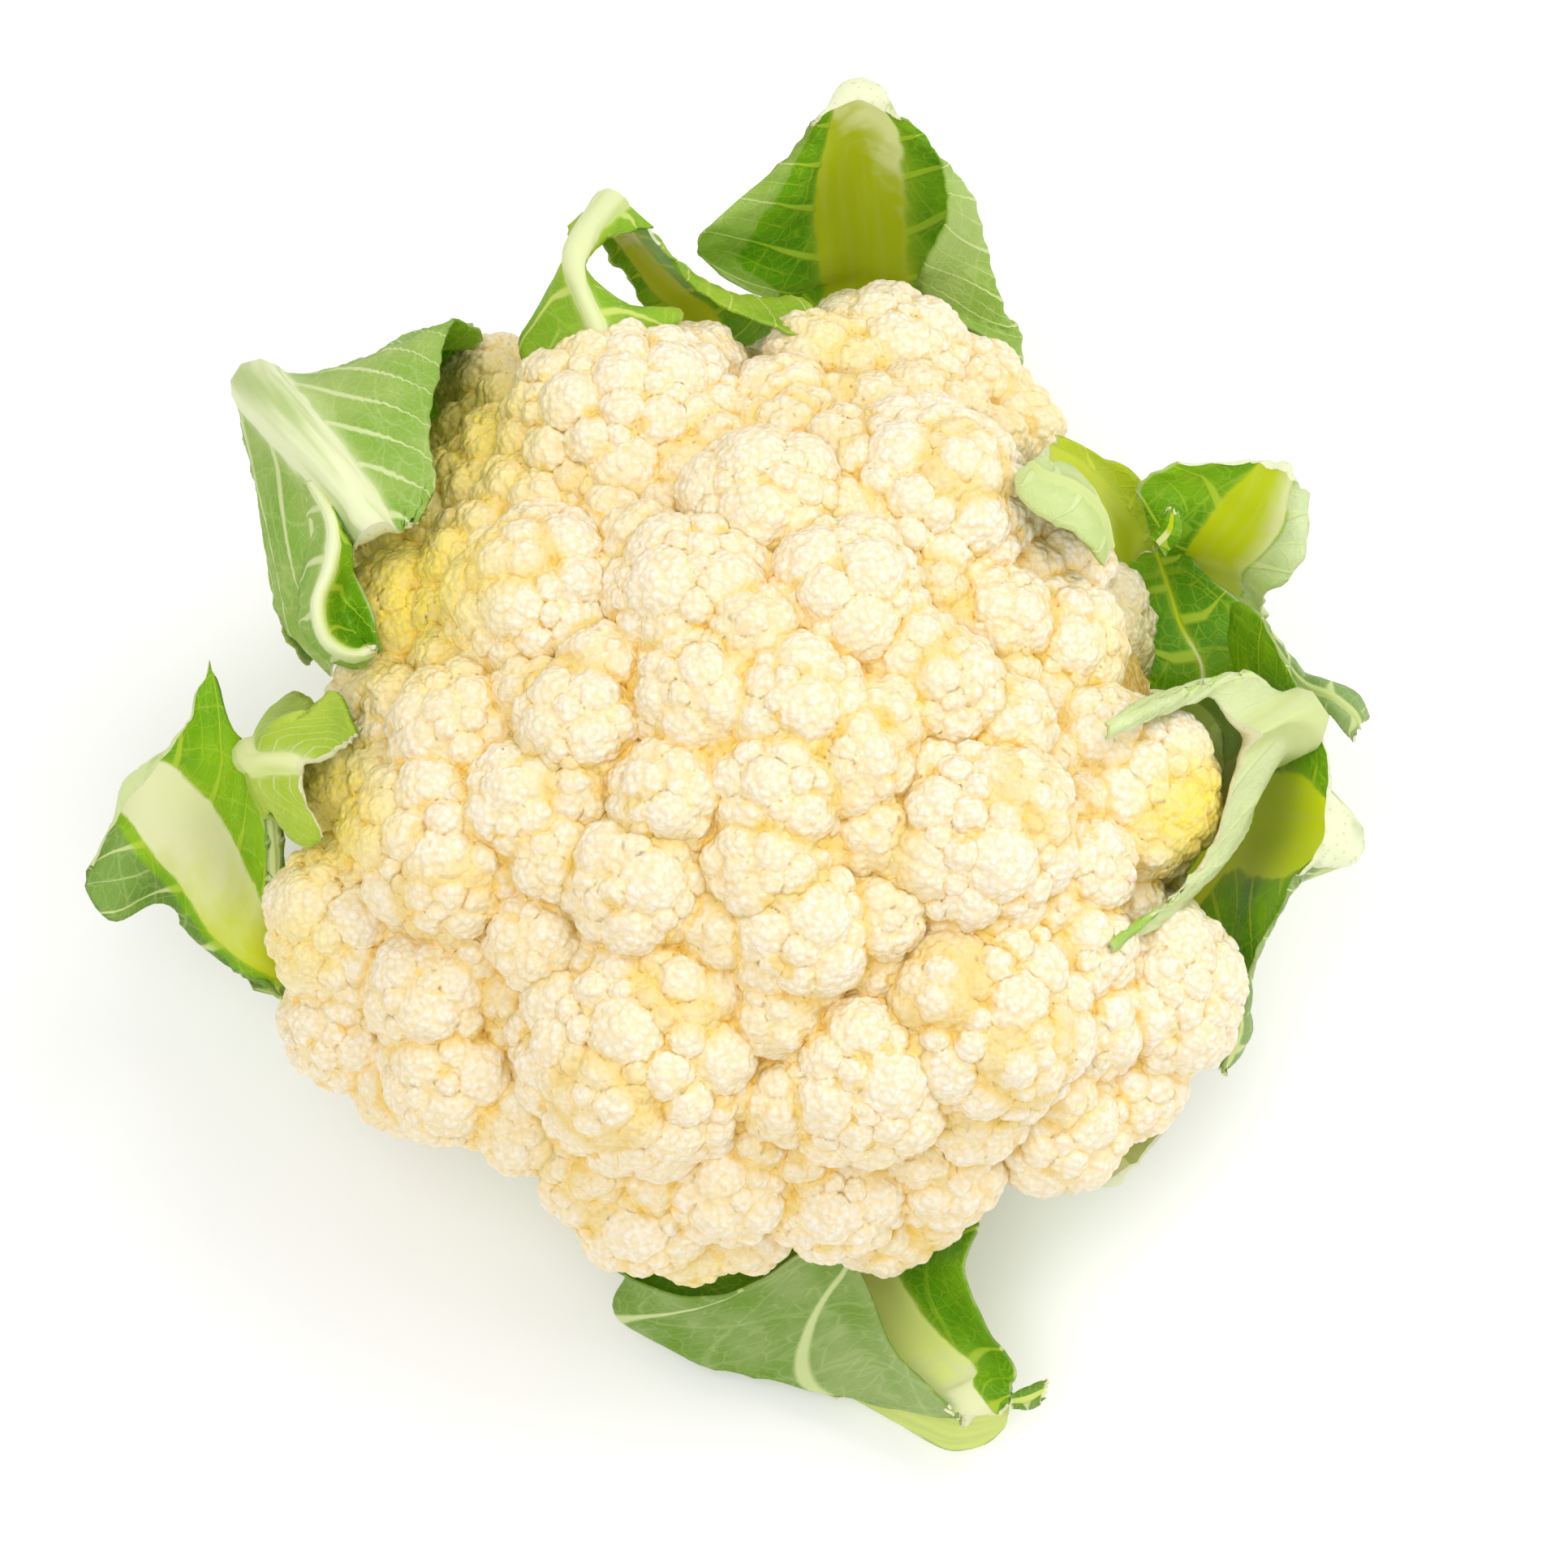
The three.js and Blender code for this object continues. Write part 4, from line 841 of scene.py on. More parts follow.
# ---- the curd's surface ------------------------------------------------------

def spiral_directions(normal, count, reach, turn):
    """Directions spread evenly over a cap round an axis, on a golden-angle spiral."""
    index = np.arange(count)
    lean = 1 - (index + 0.5) / count * (1 - math.cos(reach))
    ring = np.sqrt(1 - lean * lean)
    angle = index * GOLDEN_ANGLE + turn
    first = unit(np.cross(normal, ACROSS_HINT))
    second = np.cross(normal, first)
    return (np.outer(lean, normal) + np.outer(ring * np.cos(angle), first)
            + np.outer(ring * np.sin(angle), second))


@functools.cache
def geodesic_ball(steps):
    """Even points and triangles over a ball of radius one, each icosahedron edge cut in steps."""
    golden = (1 + math.sqrt(5)) / 2
    corners = unit(np.array([
        [-1, golden, 0], [1, golden, 0], [-1, -golden, 0], [1, -golden, 0],
        [0, -1, golden], [0, 1, golden], [0, -1, -golden], [0, 1, -golden],
        [golden, 0, -1], [golden, 0, 1], [-golden, 0, -1], [-golden, 0, 1]]))
    sides = [(0, 11, 5), (0, 5, 1), (0, 1, 7), (0, 7, 10), (0, 10, 11), (1, 5, 9), (5, 11, 4),
             (11, 10, 2), (10, 7, 6), (7, 1, 8), (3, 9, 4), (3, 4, 2), (3, 2, 6), (3, 6, 8),
             (3, 8, 9), (4, 9, 5), (2, 4, 11), (6, 2, 10), (8, 6, 7), (9, 8, 1)]
    rows, columns = np.meshgrid(np.arange(steps + 1), np.arange(steps + 1), indexing="ij")
    inside = rows + columns <= steps
    number = np.full(rows.shape, -1)
    number[inside] = np.arange(inside.sum())
    low = (rows + columns < steps)
    i, j = rows[low], columns[low]
    up = np.stack([number[i, j], number[i + 1, j], number[i, j + 1]], axis=1)
    high = (rows + columns < steps - 1)
    i, j = rows[high], columns[high]
    down = np.stack([number[i + 1, j], number[i + 1, j + 1], number[i, j + 1]], axis=1)
    pattern = np.concatenate([up, down])
    share_b, share_c = rows[inside] / steps, columns[inside] / steps
    points, faces = [], []
    for a, b, c in sides:
        faces.append(pattern + sum(len(part) for part in points))
        points.append(np.outer(1 - share_b - share_c, corners[a]) + np.outer(share_b, corners[b])
                      + np.outer(share_c, corners[c]))
    points = unit(np.concatenate(points))
    _, first, joined = np.unique(
        np.round(points, 5), axis=0, return_index=True, return_inverse=True)
    return points[first], joined.reshape(-1)[np.concatenate(faces)]


def ball_steps(radius, spacing):
    """The even number of steps that a ball's icosahedron edge is cut into for a spacing."""
    return max(int(round(STEPS_PER_RADIUS * radius / spacing / 2)) * 2, FEWEST_STEPS)


def lumps_on(normal, radius, chance):
    """Centres, from the floret's own, and radii of the lumps packed over one floret."""
    directions, sizes = np.empty((0, 3)), np.empty(0)
    largest = LARGEST_LUMP_SHARE * radius
    for least, most, tries in LUMP_SIZES:
        if least > largest:
            continue
        spiral = spiral_directions(normal, tries, LUMP_REACH, chance.uniform(0, LUMP_SPIRAL_TURN))
        for direction in chance.permutation(spiral):
            size = min(chance.uniform(least, most), largest)
            apart = np.arccos(np.clip(directions @ direction, -1, 1)) * radius
            if np.all(apart > LUMP_OVERLAP * (sizes + size)):
                directions = np.vstack([directions, direction])
                sizes = np.append(sizes, size)
    sink = SMALL_LUMP_SINK if radius < SMALL_FLORET * SMALL_SWELL else LUMP_SINK
    return directions * (radius - sink * sizes)[:, None], sizes


def reach_of_balls(directions, centres, radii, floor):
    """How far each ray from the origin reaches in a union of balls, which ball it ends on, and how
    clearly that ball wins over the next one."""
    along = directions @ centres.T
    spread = along * along - (centres * centres).sum(axis=1) + radii * radii
    reach = np.where((spread > 0) & (along > 0), along + np.sqrt(np.maximum(spread, 0)), 0.0)
    reach = np.column_stack([np.full(len(directions), floor), reach])
    winner = reach.argmax(axis=1)
    best = reach[np.arange(len(reach)), winner]
    reach[np.arange(len(reach)), winner] = -1
    return best, winner - 1, best - reach.max(axis=1)


def bead_seeds(points, directions, normal, radius, spacing, chance):
    """Evenly scattered seeds on the surface given by its points and the directions they lie in."""
    count = int(4 * math.pi * radius * radius / (BEAD_PACKING * spacing * spacing))
    wanted = spiral_directions(normal, count, math.pi, chance.uniform(0, BEAD_SPIRAL_TURN))
    wanted = unit(wanted + chance.normal(scale=BEAD_STRAY * spacing / radius, size=wanted.shape))
    tree = points_tree(directions)
    found = [tree.find(direction) for direction in wanted.tolist()]
    near = [index for _, index, distance in found if distance < SEED_REACH / radius]
    return points[np.unique(near)]


def bead_field(points, seeds, spacing):
    """Height of the beads round the seeds, 0 to 1, how deep between two beads each point lies, and
    the bead it belongs to."""
    tree = points_tree(seeds)
    nearest, second = np.empty(len(points)), np.empty(len(points))
    owner = np.empty(len(points), int)
    for row, point in enumerate(points.tolist()):
        (_, owner[row], nearest[row]), (_, _, second[row]) = tree.find_n(point, 2)
    height = np.clip(1 - (nearest / (BEAD_WIDTH * spacing)) ** 2, 0, 1)
    between = 1 - smooth_step(0.0, BEAD_GROOVE * spacing, second - nearest)
    return height, between, owner


def core_reach(directions):
    """How far the head's core reaches in each direction from its middle."""
    vertical = np.where(directions[:, 2] >= 0, HEAD_RISE, HEAD_DROP) - CORE_SHRINK
    halves = np.column_stack([np.full(len(directions), HEAD_HALF_WIDTH - CORE_SHRINK),
                              np.full(len(directions), HEAD_HALF_DEPTH - CORE_SHRINK), vertical])
    level = 1 / np.linalg.norm(directions / halves, axis=1)
    halves[:, 0] *= width_factor(directions[:, 1] * level)
    return 1 / np.linalg.norm(directions / halves, axis=1)


def depth_in_neighbours(points, order, florets):
    """How deep each point of one floret lies in another or in the core, and how far it is from the
    nearest crease between two florets."""
    centre, _, radius = florets[order]
    depth = np.full(len(points), -np.inf)
    crease = np.full(len(points), np.inf)
    for index, (other, _, size) in enumerate(florets):
        offset = other - centre
        if index == order or np.linalg.norm(offset) > OWN_REACH * radius + NEIGHBOUR_REACH * size:
            continue
        inside = size - np.linalg.norm(points - offset, axis=1)
        depth = np.maximum(depth, inside - NEIGHBOUR_SINK * size)
        crease = np.minimum(crease, np.abs(inside))
    from_head = points + centre
    distance = np.linalg.norm(from_head, axis=1)
    return np.maximum(depth, core_reach(from_head / distance[:, None]) - distance), crease


def close_rims(points, faces, root):
    """Closes each open rim of the triangles with a fan to the root point."""
    edges = np.concatenate([faces[:, [0, 1]], faces[:, [1, 2]], faces[:, [2, 0]]])
    code = edges[:, 0].astype(np.int64) * len(points) + edges[:, 1]
    back = edges[:, 1].astype(np.int64) * len(points) + edges[:, 0]
    rim = edges[~np.isin(code, back)]
    fan = np.column_stack([rim[:, 1], rim[:, 0], np.full(len(rim), len(points))])
    return np.vstack([points, root]), np.vstack([faces, fan])


def floret_surface(order, florets, spacing, beads, chance):
    """The part of one floret that shows, as a closed cap with its lumps, knobs and beads, and which
    of its points show, with the directions out of them. None if nothing shows."""
    centre, normal, radius = florets[order]
    directions, faces = geodesic_ball(ball_steps(radius, spacing))
    lumps, sizes = lumps_on(normal, radius, chance)
    reach, parents, lead = reach_of_balls(directions, lumps, sizes, FLORET_FLOOR * radius)
    points = directions * reach[:, None]
    depth, crease = depth_in_neighbours(points, order, florets)
    faces = faces[(depth <= HIDDEN_DEPTH)[faces].any(axis=1)]
    if len(faces) < FEWEST_FACES:
        return None
    kept, faces = np.unique(faces, return_inverse=True)
    faces = faces.reshape(-1, 3)
    points, parents, lead, crease, directions, depth = (
        values[kept] for values in (points, parents, lead, crease, directions, depth))
    outward = unit(points - np.vstack([lumps, np.zeros(3)])[parents])
    moved = points.copy()
    edges, tones = [], []
    for size, height in beads:
        seeds = bead_seeds(points, directions, normal, radius, size, chance)
        raised, between, owner = bead_field(points, seeds, size)
        moved += outward * (height * raised)[:, None]
        edges.append(between)
        tones.append(chance.uniform(-1, 1, len(seeds))[owner])
    layers = {
        "floret_edge": 1 - smooth_step(*FLORET_GROOVE, crease),
        "lump_edge": 1 - smooth_step(0.0, LUMP_GROOVE, lead),
        "knob_edge": edges[0],
        "bead_edge": edges[1],
        "tone": tones[0] * 0.5 + chance.uniform(-0.5, 0.5)}
    points, faces = close_rims(moved, faces, -normal * ROOT_DEPTH * radius)
    layers = {key: np.append(values, 1.0) for key, values in layers.items()}
    seen = np.flatnonzero(depth < SEEN_DEPTH)
    return (points + centre + HEAD_CENTRE, faces, layers), seen, outward[seen]


def crease_depths(shapes, seen_points, outward, reach, chance):
    """How far every point of the shapes lies between its neighbours, from 0 to 1."""
    picked = chance.choice(len(seen_points), len(seen_points) // CREASE_SAMPLE, replace=False)
    samples, outward = seen_points[picked], outward[picked]
    tree = points_tree(samples)
    cupped = np.zeros(len(samples))
    for index, sample in enumerate(samples.tolist()):
        near = [item[1] for item in tree.find_range(sample, reach)]
        cupped[index] = (samples[near] - samples[index]).mean(axis=0) @ outward[index]
    cupped = cupped / reach
    result = []
    for points, _, _ in shapes:
        rows = [tree.find_n(point, CREASE_BLUR) for point in points.tolist()]
        depths = [sum(cupped[item[1]] for item in row) / CREASE_BLUR for row in rows]
        result.append(np.array(depths))
    return result


def paint_leaf_light(points):
    """How strongly light from the leaves is painted onto each point, by its place in the leaning
    plan.
    """
    plan = np.column_stack([points[:, 0], (points - HEAD_CENTRE) @ PLAN_UP])
    tint = np.zeros(len(points))
    for across, along, reach, strength in PAINTED_LEAF_LIGHT_SPOTS:
        away = np.linalg.norm(plan - [across, along], axis=1)
        tint = np.maximum(tint, strength * (1 - smooth_step(PAINTED_LEAF_LIGHT_FULL_SHARE * reach, reach, away)))
    return tint


def sector_of(centre):
    """The name of the sector that a floret belongs to."""
    if np.hypot(*(centre[:2] - CROWN_MIDDLE)) < CROWN_RADIUS:
        return "crown"
    turn = math.degrees(math.atan2(centre[1], centre[0])) % 360
    return SECTORS[int(turn // (360 / len(SECTORS)))]


def curd_sectors(florets, spacing, beads, chance):
    """The curd's shape in each sector, joined from its florets."""
    shapes, names, seen_points, outward = [], [], [], []
    for order, (centre, normal, _) in enumerate(florets):
        coarseness = 1 if normal.dot(PLAN_OUT) > AWAY_TURN else AWAY_COARSENESS
        made = floret_surface(order, florets, spacing * coarseness, beads, chance)
        if made is not None:
            shape, seen, out = made
            names.append(sector_of(centre))
            shapes.append(shape)
            seen_points.append(shape[0][seen])
            outward.append(out)
    seen_points, outward = np.concatenate(seen_points), np.concatenate(outward)
    wide = crease_depths(shapes, seen_points, outward, WIDE_REACH, chance)
    close = crease_depths(shapes, seen_points, outward, CLOSE_REACH, chance)
    sectors = {}
    for name, (points, faces, layers), wide_crease, close_crease in zip(names, shapes, wide, close):
        layers = {"wide_crease": wide_crease, "close_crease": close_crease, **layers}
        sectors.setdefault(name, []).append((points, faces, layers))
    return {name: join_shapes(parts) for name, parts in sectors.items()}


def bed_surface(florets):
    """A closed lumpy surface a little below the florets, which shows only in the gaps between."""
    directions, faces = geodesic_ball(ball_steps(HEAD_HALF_WIDTH, BED_SPACING))
    reach = core_reach(directions)
    for centre, _, radius in florets:
        along = directions @ centre
        spread = along * along - centre.dot(centre) + (BED_SHARE * radius) ** 2
        outer = along + np.sqrt(np.maximum(spread, 0))
        reach = np.where(spread > 0, np.maximum(reach, outer), reach)
    points = directions * reach[:, None]
    bend = np.sin(points[:, [1, 2, 0]] * BED_BEND_PACE) * BED_BEND
    waves = np.sin(points * BED_WAVE_PACE + bend).sum(axis=1)
    points = points + directions * (BED_WAVES * waves)[:, None] + HEAD_CENTRE
    return points, faces, {key: np.full(len(points), value) for key, value in BED_LAYERS.items()}


# ---- the stalk's surface -----------------------------------------------------

def stalk_rings():
    """Radius, height and whether it is cut, for every ring from the face's middle to the top's."""
    radii, heights = np.array(STALK_OUTLINE).T
    face = np.linspace(STALK_INNERMOST, radii[0], STALK_FACE_RINGS)[:-1]
    pace = np.concatenate([[0], np.cumsum(np.hypot(np.diff(radii), np.diff(heights)))])
    steps = np.linspace(0, pace[-1], STALK_RINGS)
    top = np.linspace(radii[-1], STALK_INNERMOST, STALK_TOP_RINGS)[1:]
    hollow = STALK_HOLLOW * (1 - (face / radii[0]) ** 2)
    side = np.interp(steps, pace, radii), np.interp(steps, pace, heights)
    return np.concatenate([
        np.column_stack([face, hollow, np.ones(len(face))]),
        np.column_stack([*side, np.zeros(len(steps))]),
        np.column_stack([top, np.full(len(top), heights[-1]), np.zeros(len(top))])])


def scarred(turn, radius, height):
    """How far each point stands out for the ridges and leaf scars, and how much of a scar it is."""
    (broad, broad_count, broad_start), (fine, fine_count, fine_start) = STALK_RIDGES
    bent = broad_count * turn + RIDGE_BEND * np.sin(2 * turn) + broad_start
    ridges = broad * np.sin(bent) + fine * np.sin(fine_count * turn + fine_start)
    out = ridges + np.zeros_like(radius)
    scar = np.zeros_like(radius)
    for degrees, middle, half_width, half_height in STALK_SCARS:
        aside = (turn - math.radians(degrees) + math.pi) % FULL_TURN - math.pi
        away = np.hypot(aside * radius / half_width, (height - middle) / half_height)
        lip = np.exp(-((away - 1) / SCAR_LIP_WIDTH) ** 2)
        out += SCAR_LIP * lip - SCAR_DEPTH * (1 - smooth_step(*SCAR_HOLLOW_EDGE, away))
        scar = np.maximum(scar, 1 - smooth_step(*SCAR_COLOUR_EDGE, away))
    return out, scar


def stalk_surface(chance):
    """The stalk's shape: its cut face, its side with leaf scars, and its top."""
    rings = stalk_rings()
    turn = np.arange(STALK_SIDES) / STALK_SIDES * FULL_TURN
    radius, height, cut = (np.tile(column[:, None], (1, STALK_SIDES)) for column in rings.T)
    out, scar = scarred(turn, radius, height)
    on_side = np.interp(height, STALK_ROUGH, (0, 1, 1, 0)) * (1 - cut)
    radius = radius + (out + chance.uniform(-STALK_ROUGHNESS, STALK_ROUGHNESS, out.shape)) * on_side
    height = height + chance.uniform(0, FACE_ROUGHNESS, out.shape) * cut
    points = np.stack([radius * np.cos(turn), radius * np.sin(turn), height], axis=2).reshape(-1, 3)
    from_pith = np.hypot(points[:, 0], points[:, 1]) / STALK_OUTLINE[0][0]
    number = np.arange(len(rings) * STALK_SIDES).reshape(len(rings), STALK_SIDES)
    nearby = np.roll(number, -1, axis=1)
    a, b, c, d = number[:-1], nearby[:-1], nearby[1:], number[1:]
    faces = [np.stack([a, b, c], -1).reshape(-1, 3), np.stack([a, c, d], -1).reshape(-1, 3)]
    for row, order in ((0, 1), (-1, -1)):
        middle = np.full(STALK_SIDES, len(points))
        points = np.vstack([points, points[number[row]].mean(axis=0)])
        faces.append(np.stack([middle, nearby[row], number[row]][::order], -1))
    layers = {"cut": np.append(cut, (1, 0)), "scar": np.append(scar, (0, 0)),
              "from_pith": np.append(from_pith, (0, 0))}
    return points, np.vstack(faces), layers


# ---- the leaves' surfaces ----------------------------------------------------

def curve_through(points, places):
    """A smooth curve through points along the first axis, at places counted in points."""
    padded = np.concatenate([[2 * points[0] - points[1]], points, [2 * points[-1] - points[-2]]])
    start = np.clip(places.astype(int), 0, len(points) - 2)
    t = (places - start).reshape(-1, *[1] * (points.ndim - 1))
    a, b, c, d = (padded[start + k] for k in range(4))
    return b + 0.5 * t * (c - a + t * (2 * a - 5 * b + 4 * c - d + t * (3 * (b - c) + d - a)))


def curve_across(controls, spots):
    """Points across every row at that row's own spots, counted in its control points."""
    padded = np.concatenate([2 * controls[:, :1] - controls[:, 1:2], controls,
                             2 * controls[:, -1:] - controls[:, -2:-1]], axis=1)
    pace = np.maximum(np.linalg.norm(np.diff(padded, axis=1), axis=2, keepdims=True) ** 0.5, 1e-4)
    count = controls.shape[1] - 1
    a, b, c, d = (padded[:, k:k + count] for k in range(4))
    before, within, after = (pace[:, k:k + count] for k in range(3))
    start = within * ((b - a) / before - (c - a) / (before + within) + (c - b) / within)
    end = within * ((c - b) / within - (d - b) / (within + after) + (d - c) / after)
    segment = np.clip(spots.astype(int), 0, count - 1)
    t = (spots - segment)[..., None]
    row = np.arange(len(controls))[:, None]
    b, c, start, end = (values[row, segment] for values in (b, c, start, end))
    return b + t * (start + t * (3 * (c - b) - 2 * start - end + t * (2 * (b - c) + start + end)))


def wander(places, step, chance):
    """A smooth random line between -1 and 1 whose turns are about one step apart."""
    count = int(places.max() / step) + 4
    knots = chance.uniform(-1, 1, count)
    whole = np.clip(places / step, 0, count - 2).astype(int)
    part = np.clip(places / step - whole, 0, 1)
    part = part * part * (3 - 2 * part)
    return knots[whole] * (1 - part) + knots[whole + 1] * part


def strays(places, size_and_step, chance):
    """A column that wanders by a size, with turns about a step apart."""
    size, step = size_and_step
    return size * wander(places, step, chance)[:, None]


def tear_line(places, tears, chance):
    """How far a torn edge runs back at each place, as a share of the largest tear."""
    (broad, broad_step), (fine, fine_step), mean = tears
    large = broad * wander(places, broad_step, chance)
    return large + fine * wander(places, fine_step, chance) + mean


def from_plan(point):
    """A point given across and along the leaning plan and by its height above the table."""
    across, along, height = point
    rise = (height - HEAD_CENTRE[2]) * math.sin(PLAN_LEAN)
    return np.array([across, (along - rise) / math.cos(PLAN_LEAN), height])


def sheet_controls(stem, rows):
    """Every row's rib thickness and seven points: margin, blade, rib's side, rib, and back out."""
    width, thickness, centres = stem
    halves, depths, lines = [], [], []
    for index, centre in enumerate(centres):
        centre = np.array(centre, float)
        half = width / 2 * (STEM_FOOT_SHARE if index == 0 else 1)
        leftward = unit(np.array([-centre[1], centre[0], 0.0]))
        halves.append(half)
        depths.append(thickness)
        lines.append([centre + leftward * half * share
                      for share in (-STEM_MARGIN, -1, 0, 1, STEM_MARGIN)])
    for width, thickness, *points in rows:
        halves.append(width / 2)
        depths.append(thickness)
        lines.append([from_plan(point) for point in points])
    controls = []
    for half, (right_margin, right, rib, left, left_margin) in zip(halves, lines):
        sides = []
        for blade in (right, left):
            span = np.linalg.norm(blade - rib)
            sides.append(rib + (blade - rib) / span * min(half, span * RIB_SHARE_LIMIT))
        controls.append([right_margin, right, sides[0], rib, sides[1], left, left_margin])
    return np.array(depths), np.array(controls)


def grid_normals(grid):
    """Directions out of a grid's face."""
    return unit(-np.cross(np.gradient(grid, axis=1), np.gradient(grid, axis=0)) + 1e-9)


def spots_across(controls, along, opened, lines, spacing, tear, chance):
    """Where the points of every row lie, counted in its control points. The margins run in and out,
    as they were torn and grew."""
    spots = [np.zeros(1)]
    widths = np.linalg.norm(np.diff(controls, axis=1), axis=2).max(axis=0)
    for segment, width in enumerate(widths):
        count = max(int(width / spacing), 3)
        spots.append(segment + np.arange(1, count + 1) / count)
    spots = np.tile(np.concatenate(spots), (len(lines), 1))
    for margin, inward in ((0, 1), (LAST_LINE, -1)):
        edge = np.linalg.norm(lines[:, margin] - lines[:, margin + inward], axis=1)
        shift = tear * tear_line(along, MARGIN_TEARS, chance) * opened
        shift = np.clip(shift / np.maximum(edge, 1), *TEAR_LIMITS)[:, None]
        from_margin = np.abs(spots - margin)
        torn = margin + inward * (shift + (1 - shift) * from_margin)
        spots = np.where(from_margin < 1, torn, spots)
    return spots


def torn_end(grid, along, tear, chance):
    """The grid with an uneven end, where the leaf was cut, and how far along its points are."""
    ragged = tear * tear_line(np.linspace(0, END_WIDTH, grid.shape[1]), END_TEARS, chance)
    near_end = smooth_step(END_FROM * along[-1], along[-1], along)
    lengths = along[:, None] - np.clip(ragged, 0, DEEPEST_END_TEAR)[None, :] * near_end[:, None]
    torn = np.empty_like(grid)
    for column, axis in np.ndindex(grid.shape[1:]):
        torn[:, column, axis] = np.interp(lengths[:, column], along, grid[:, column, axis])
    return torn, lengths


def vein_layers(from_rib, outward, lengths, along, style, chance):
    """The phase of the side veins, how much of a vein each point is, and the cross veins' phase.
    Side veins leave the rib toward the tip and bend along the margin; cross veins join them."""
    half = np.where(from_rib < 0, -from_rib[:, :1], from_rib[:, -1:])
    beyond = np.maximum(np.abs(from_rib) - RIB_HALF, 0)
    pitch, lean = style["vein_pitch"], style["vein_lean"]
    drift = strays(along, VEIN_WANDER, chance) + np.sign(from_rib) * pitch * VEIN_STAGGER
    phase = (lengths - lean * beyond - VEIN_BEND * beyond ** 2 + drift) / pitch
    gap = np.abs(phase - np.round(phase)) * pitch / math.sqrt(1 + lean * lean)
    taper = np.clip(beyond / np.maximum(half - RIB_HALF, 6), 0, 1)
    vein = np.exp(-(gap / (VEIN_WIDTH - VEIN_THINNING * taper)) ** 2) * (1 - 0.5 * taper)
    vein = vein * smooth_step(0, 0.35, outward + 0.12)
    cross = 0.9 * beyond + 0.55 * lengths + strays(along, CROSS_WANDER, chance)
    return phase, vein, cross / (pitch * CROSS_PITCH_SHARE)


def blade_waves(from_rib, outward, phase, along, style, chance):
    """How far the blade puckers up between its veins and waves toward its margins."""
    between = np.sin(math.pi * np.abs(phase - np.round(phase)) * 2)
    height = style["pucker"] * between * smooth_step(0, 0.5, outward)
    for sign in (-1, 1):
        waves = sum(strays(along, (share * style["ruffle"], length), chance) * outward ** growth
                    for share, length, growth in RUFFLES)
        height = height + np.where(np.sign(from_rib) == sign, waves, 0)
    return height


def leaf_depth(rib_depth, from_rib, spot, outward, vein, along, chance):
    """How thick the leaf is: a rounded, grooved bar under the rib, thin blades and raised veins."""
    bar = rib_depth[:, None] * np.interp(spot, *RIB_PROFILE)
    blade = BLADE_THICKNESS - MARGIN_THINNING * outward
    grooves = np.cos(from_rib * GROOVE_PACE + strays(along, GROOVE_WANDER, chance))
    grooves = RIB_GROOVE * grooves * np.cos(spot * math.pi / 2)
    return np.maximum(bar, blade) + np.where(spot < 1, grooves, 0) + VEIN_HEIGHT * vein * (spot > 1)


def back_skin(from_rib, spot, along, style, chance):
    """1 where the skin of the leaf's back shows on its face, 0 elsewhere."""
    skin = np.zeros_like(spot)
    if style["turned"]:
        side, place, share = style["turned"]
        turned = (np.sign(from_rib) * side >= 0) & (along / along[-1] >= share)[:, None]
        skin[turned & (spot >= place + strays(along, TURN_WANDER, chance))] = 1.0
    if style["outer_side"]:
        skin[(style["outer_side"] == 2) | (np.sign(from_rib) == style["outer_side"])] = 1.0
    return skin


def grid_quads(number):
    """The quads between the numbered points of a grid, facing the grid's face."""
    corners = number[:-1, :-1], number[1:, :-1], number[1:, 1:], number[:-1, 1:]
    return np.stack(corners, -1).reshape(-1, 4)


def end_cap(row, beside, face, back, depth, chance):
    """Points over the cut end at one row, from face to back, and how far down each ring is."""
    shares = np.linspace(0, 1, CAP_RINGS)
    bulge = np.sin(shares * math.pi)[:, None] * np.minimum(depth[row] * CAP_BULGE, CAP_BULGE_LIMIT)
    bulge = bulge + chance.uniform(-CAP_ROUGHNESS, CAP_ROUGHNESS, bulge.shape) * (bulge > 0.05)
    across = shares[:, None, None]
    return face[row] * (1 - across) + back[row] * across + beside * bulge[..., None], shares


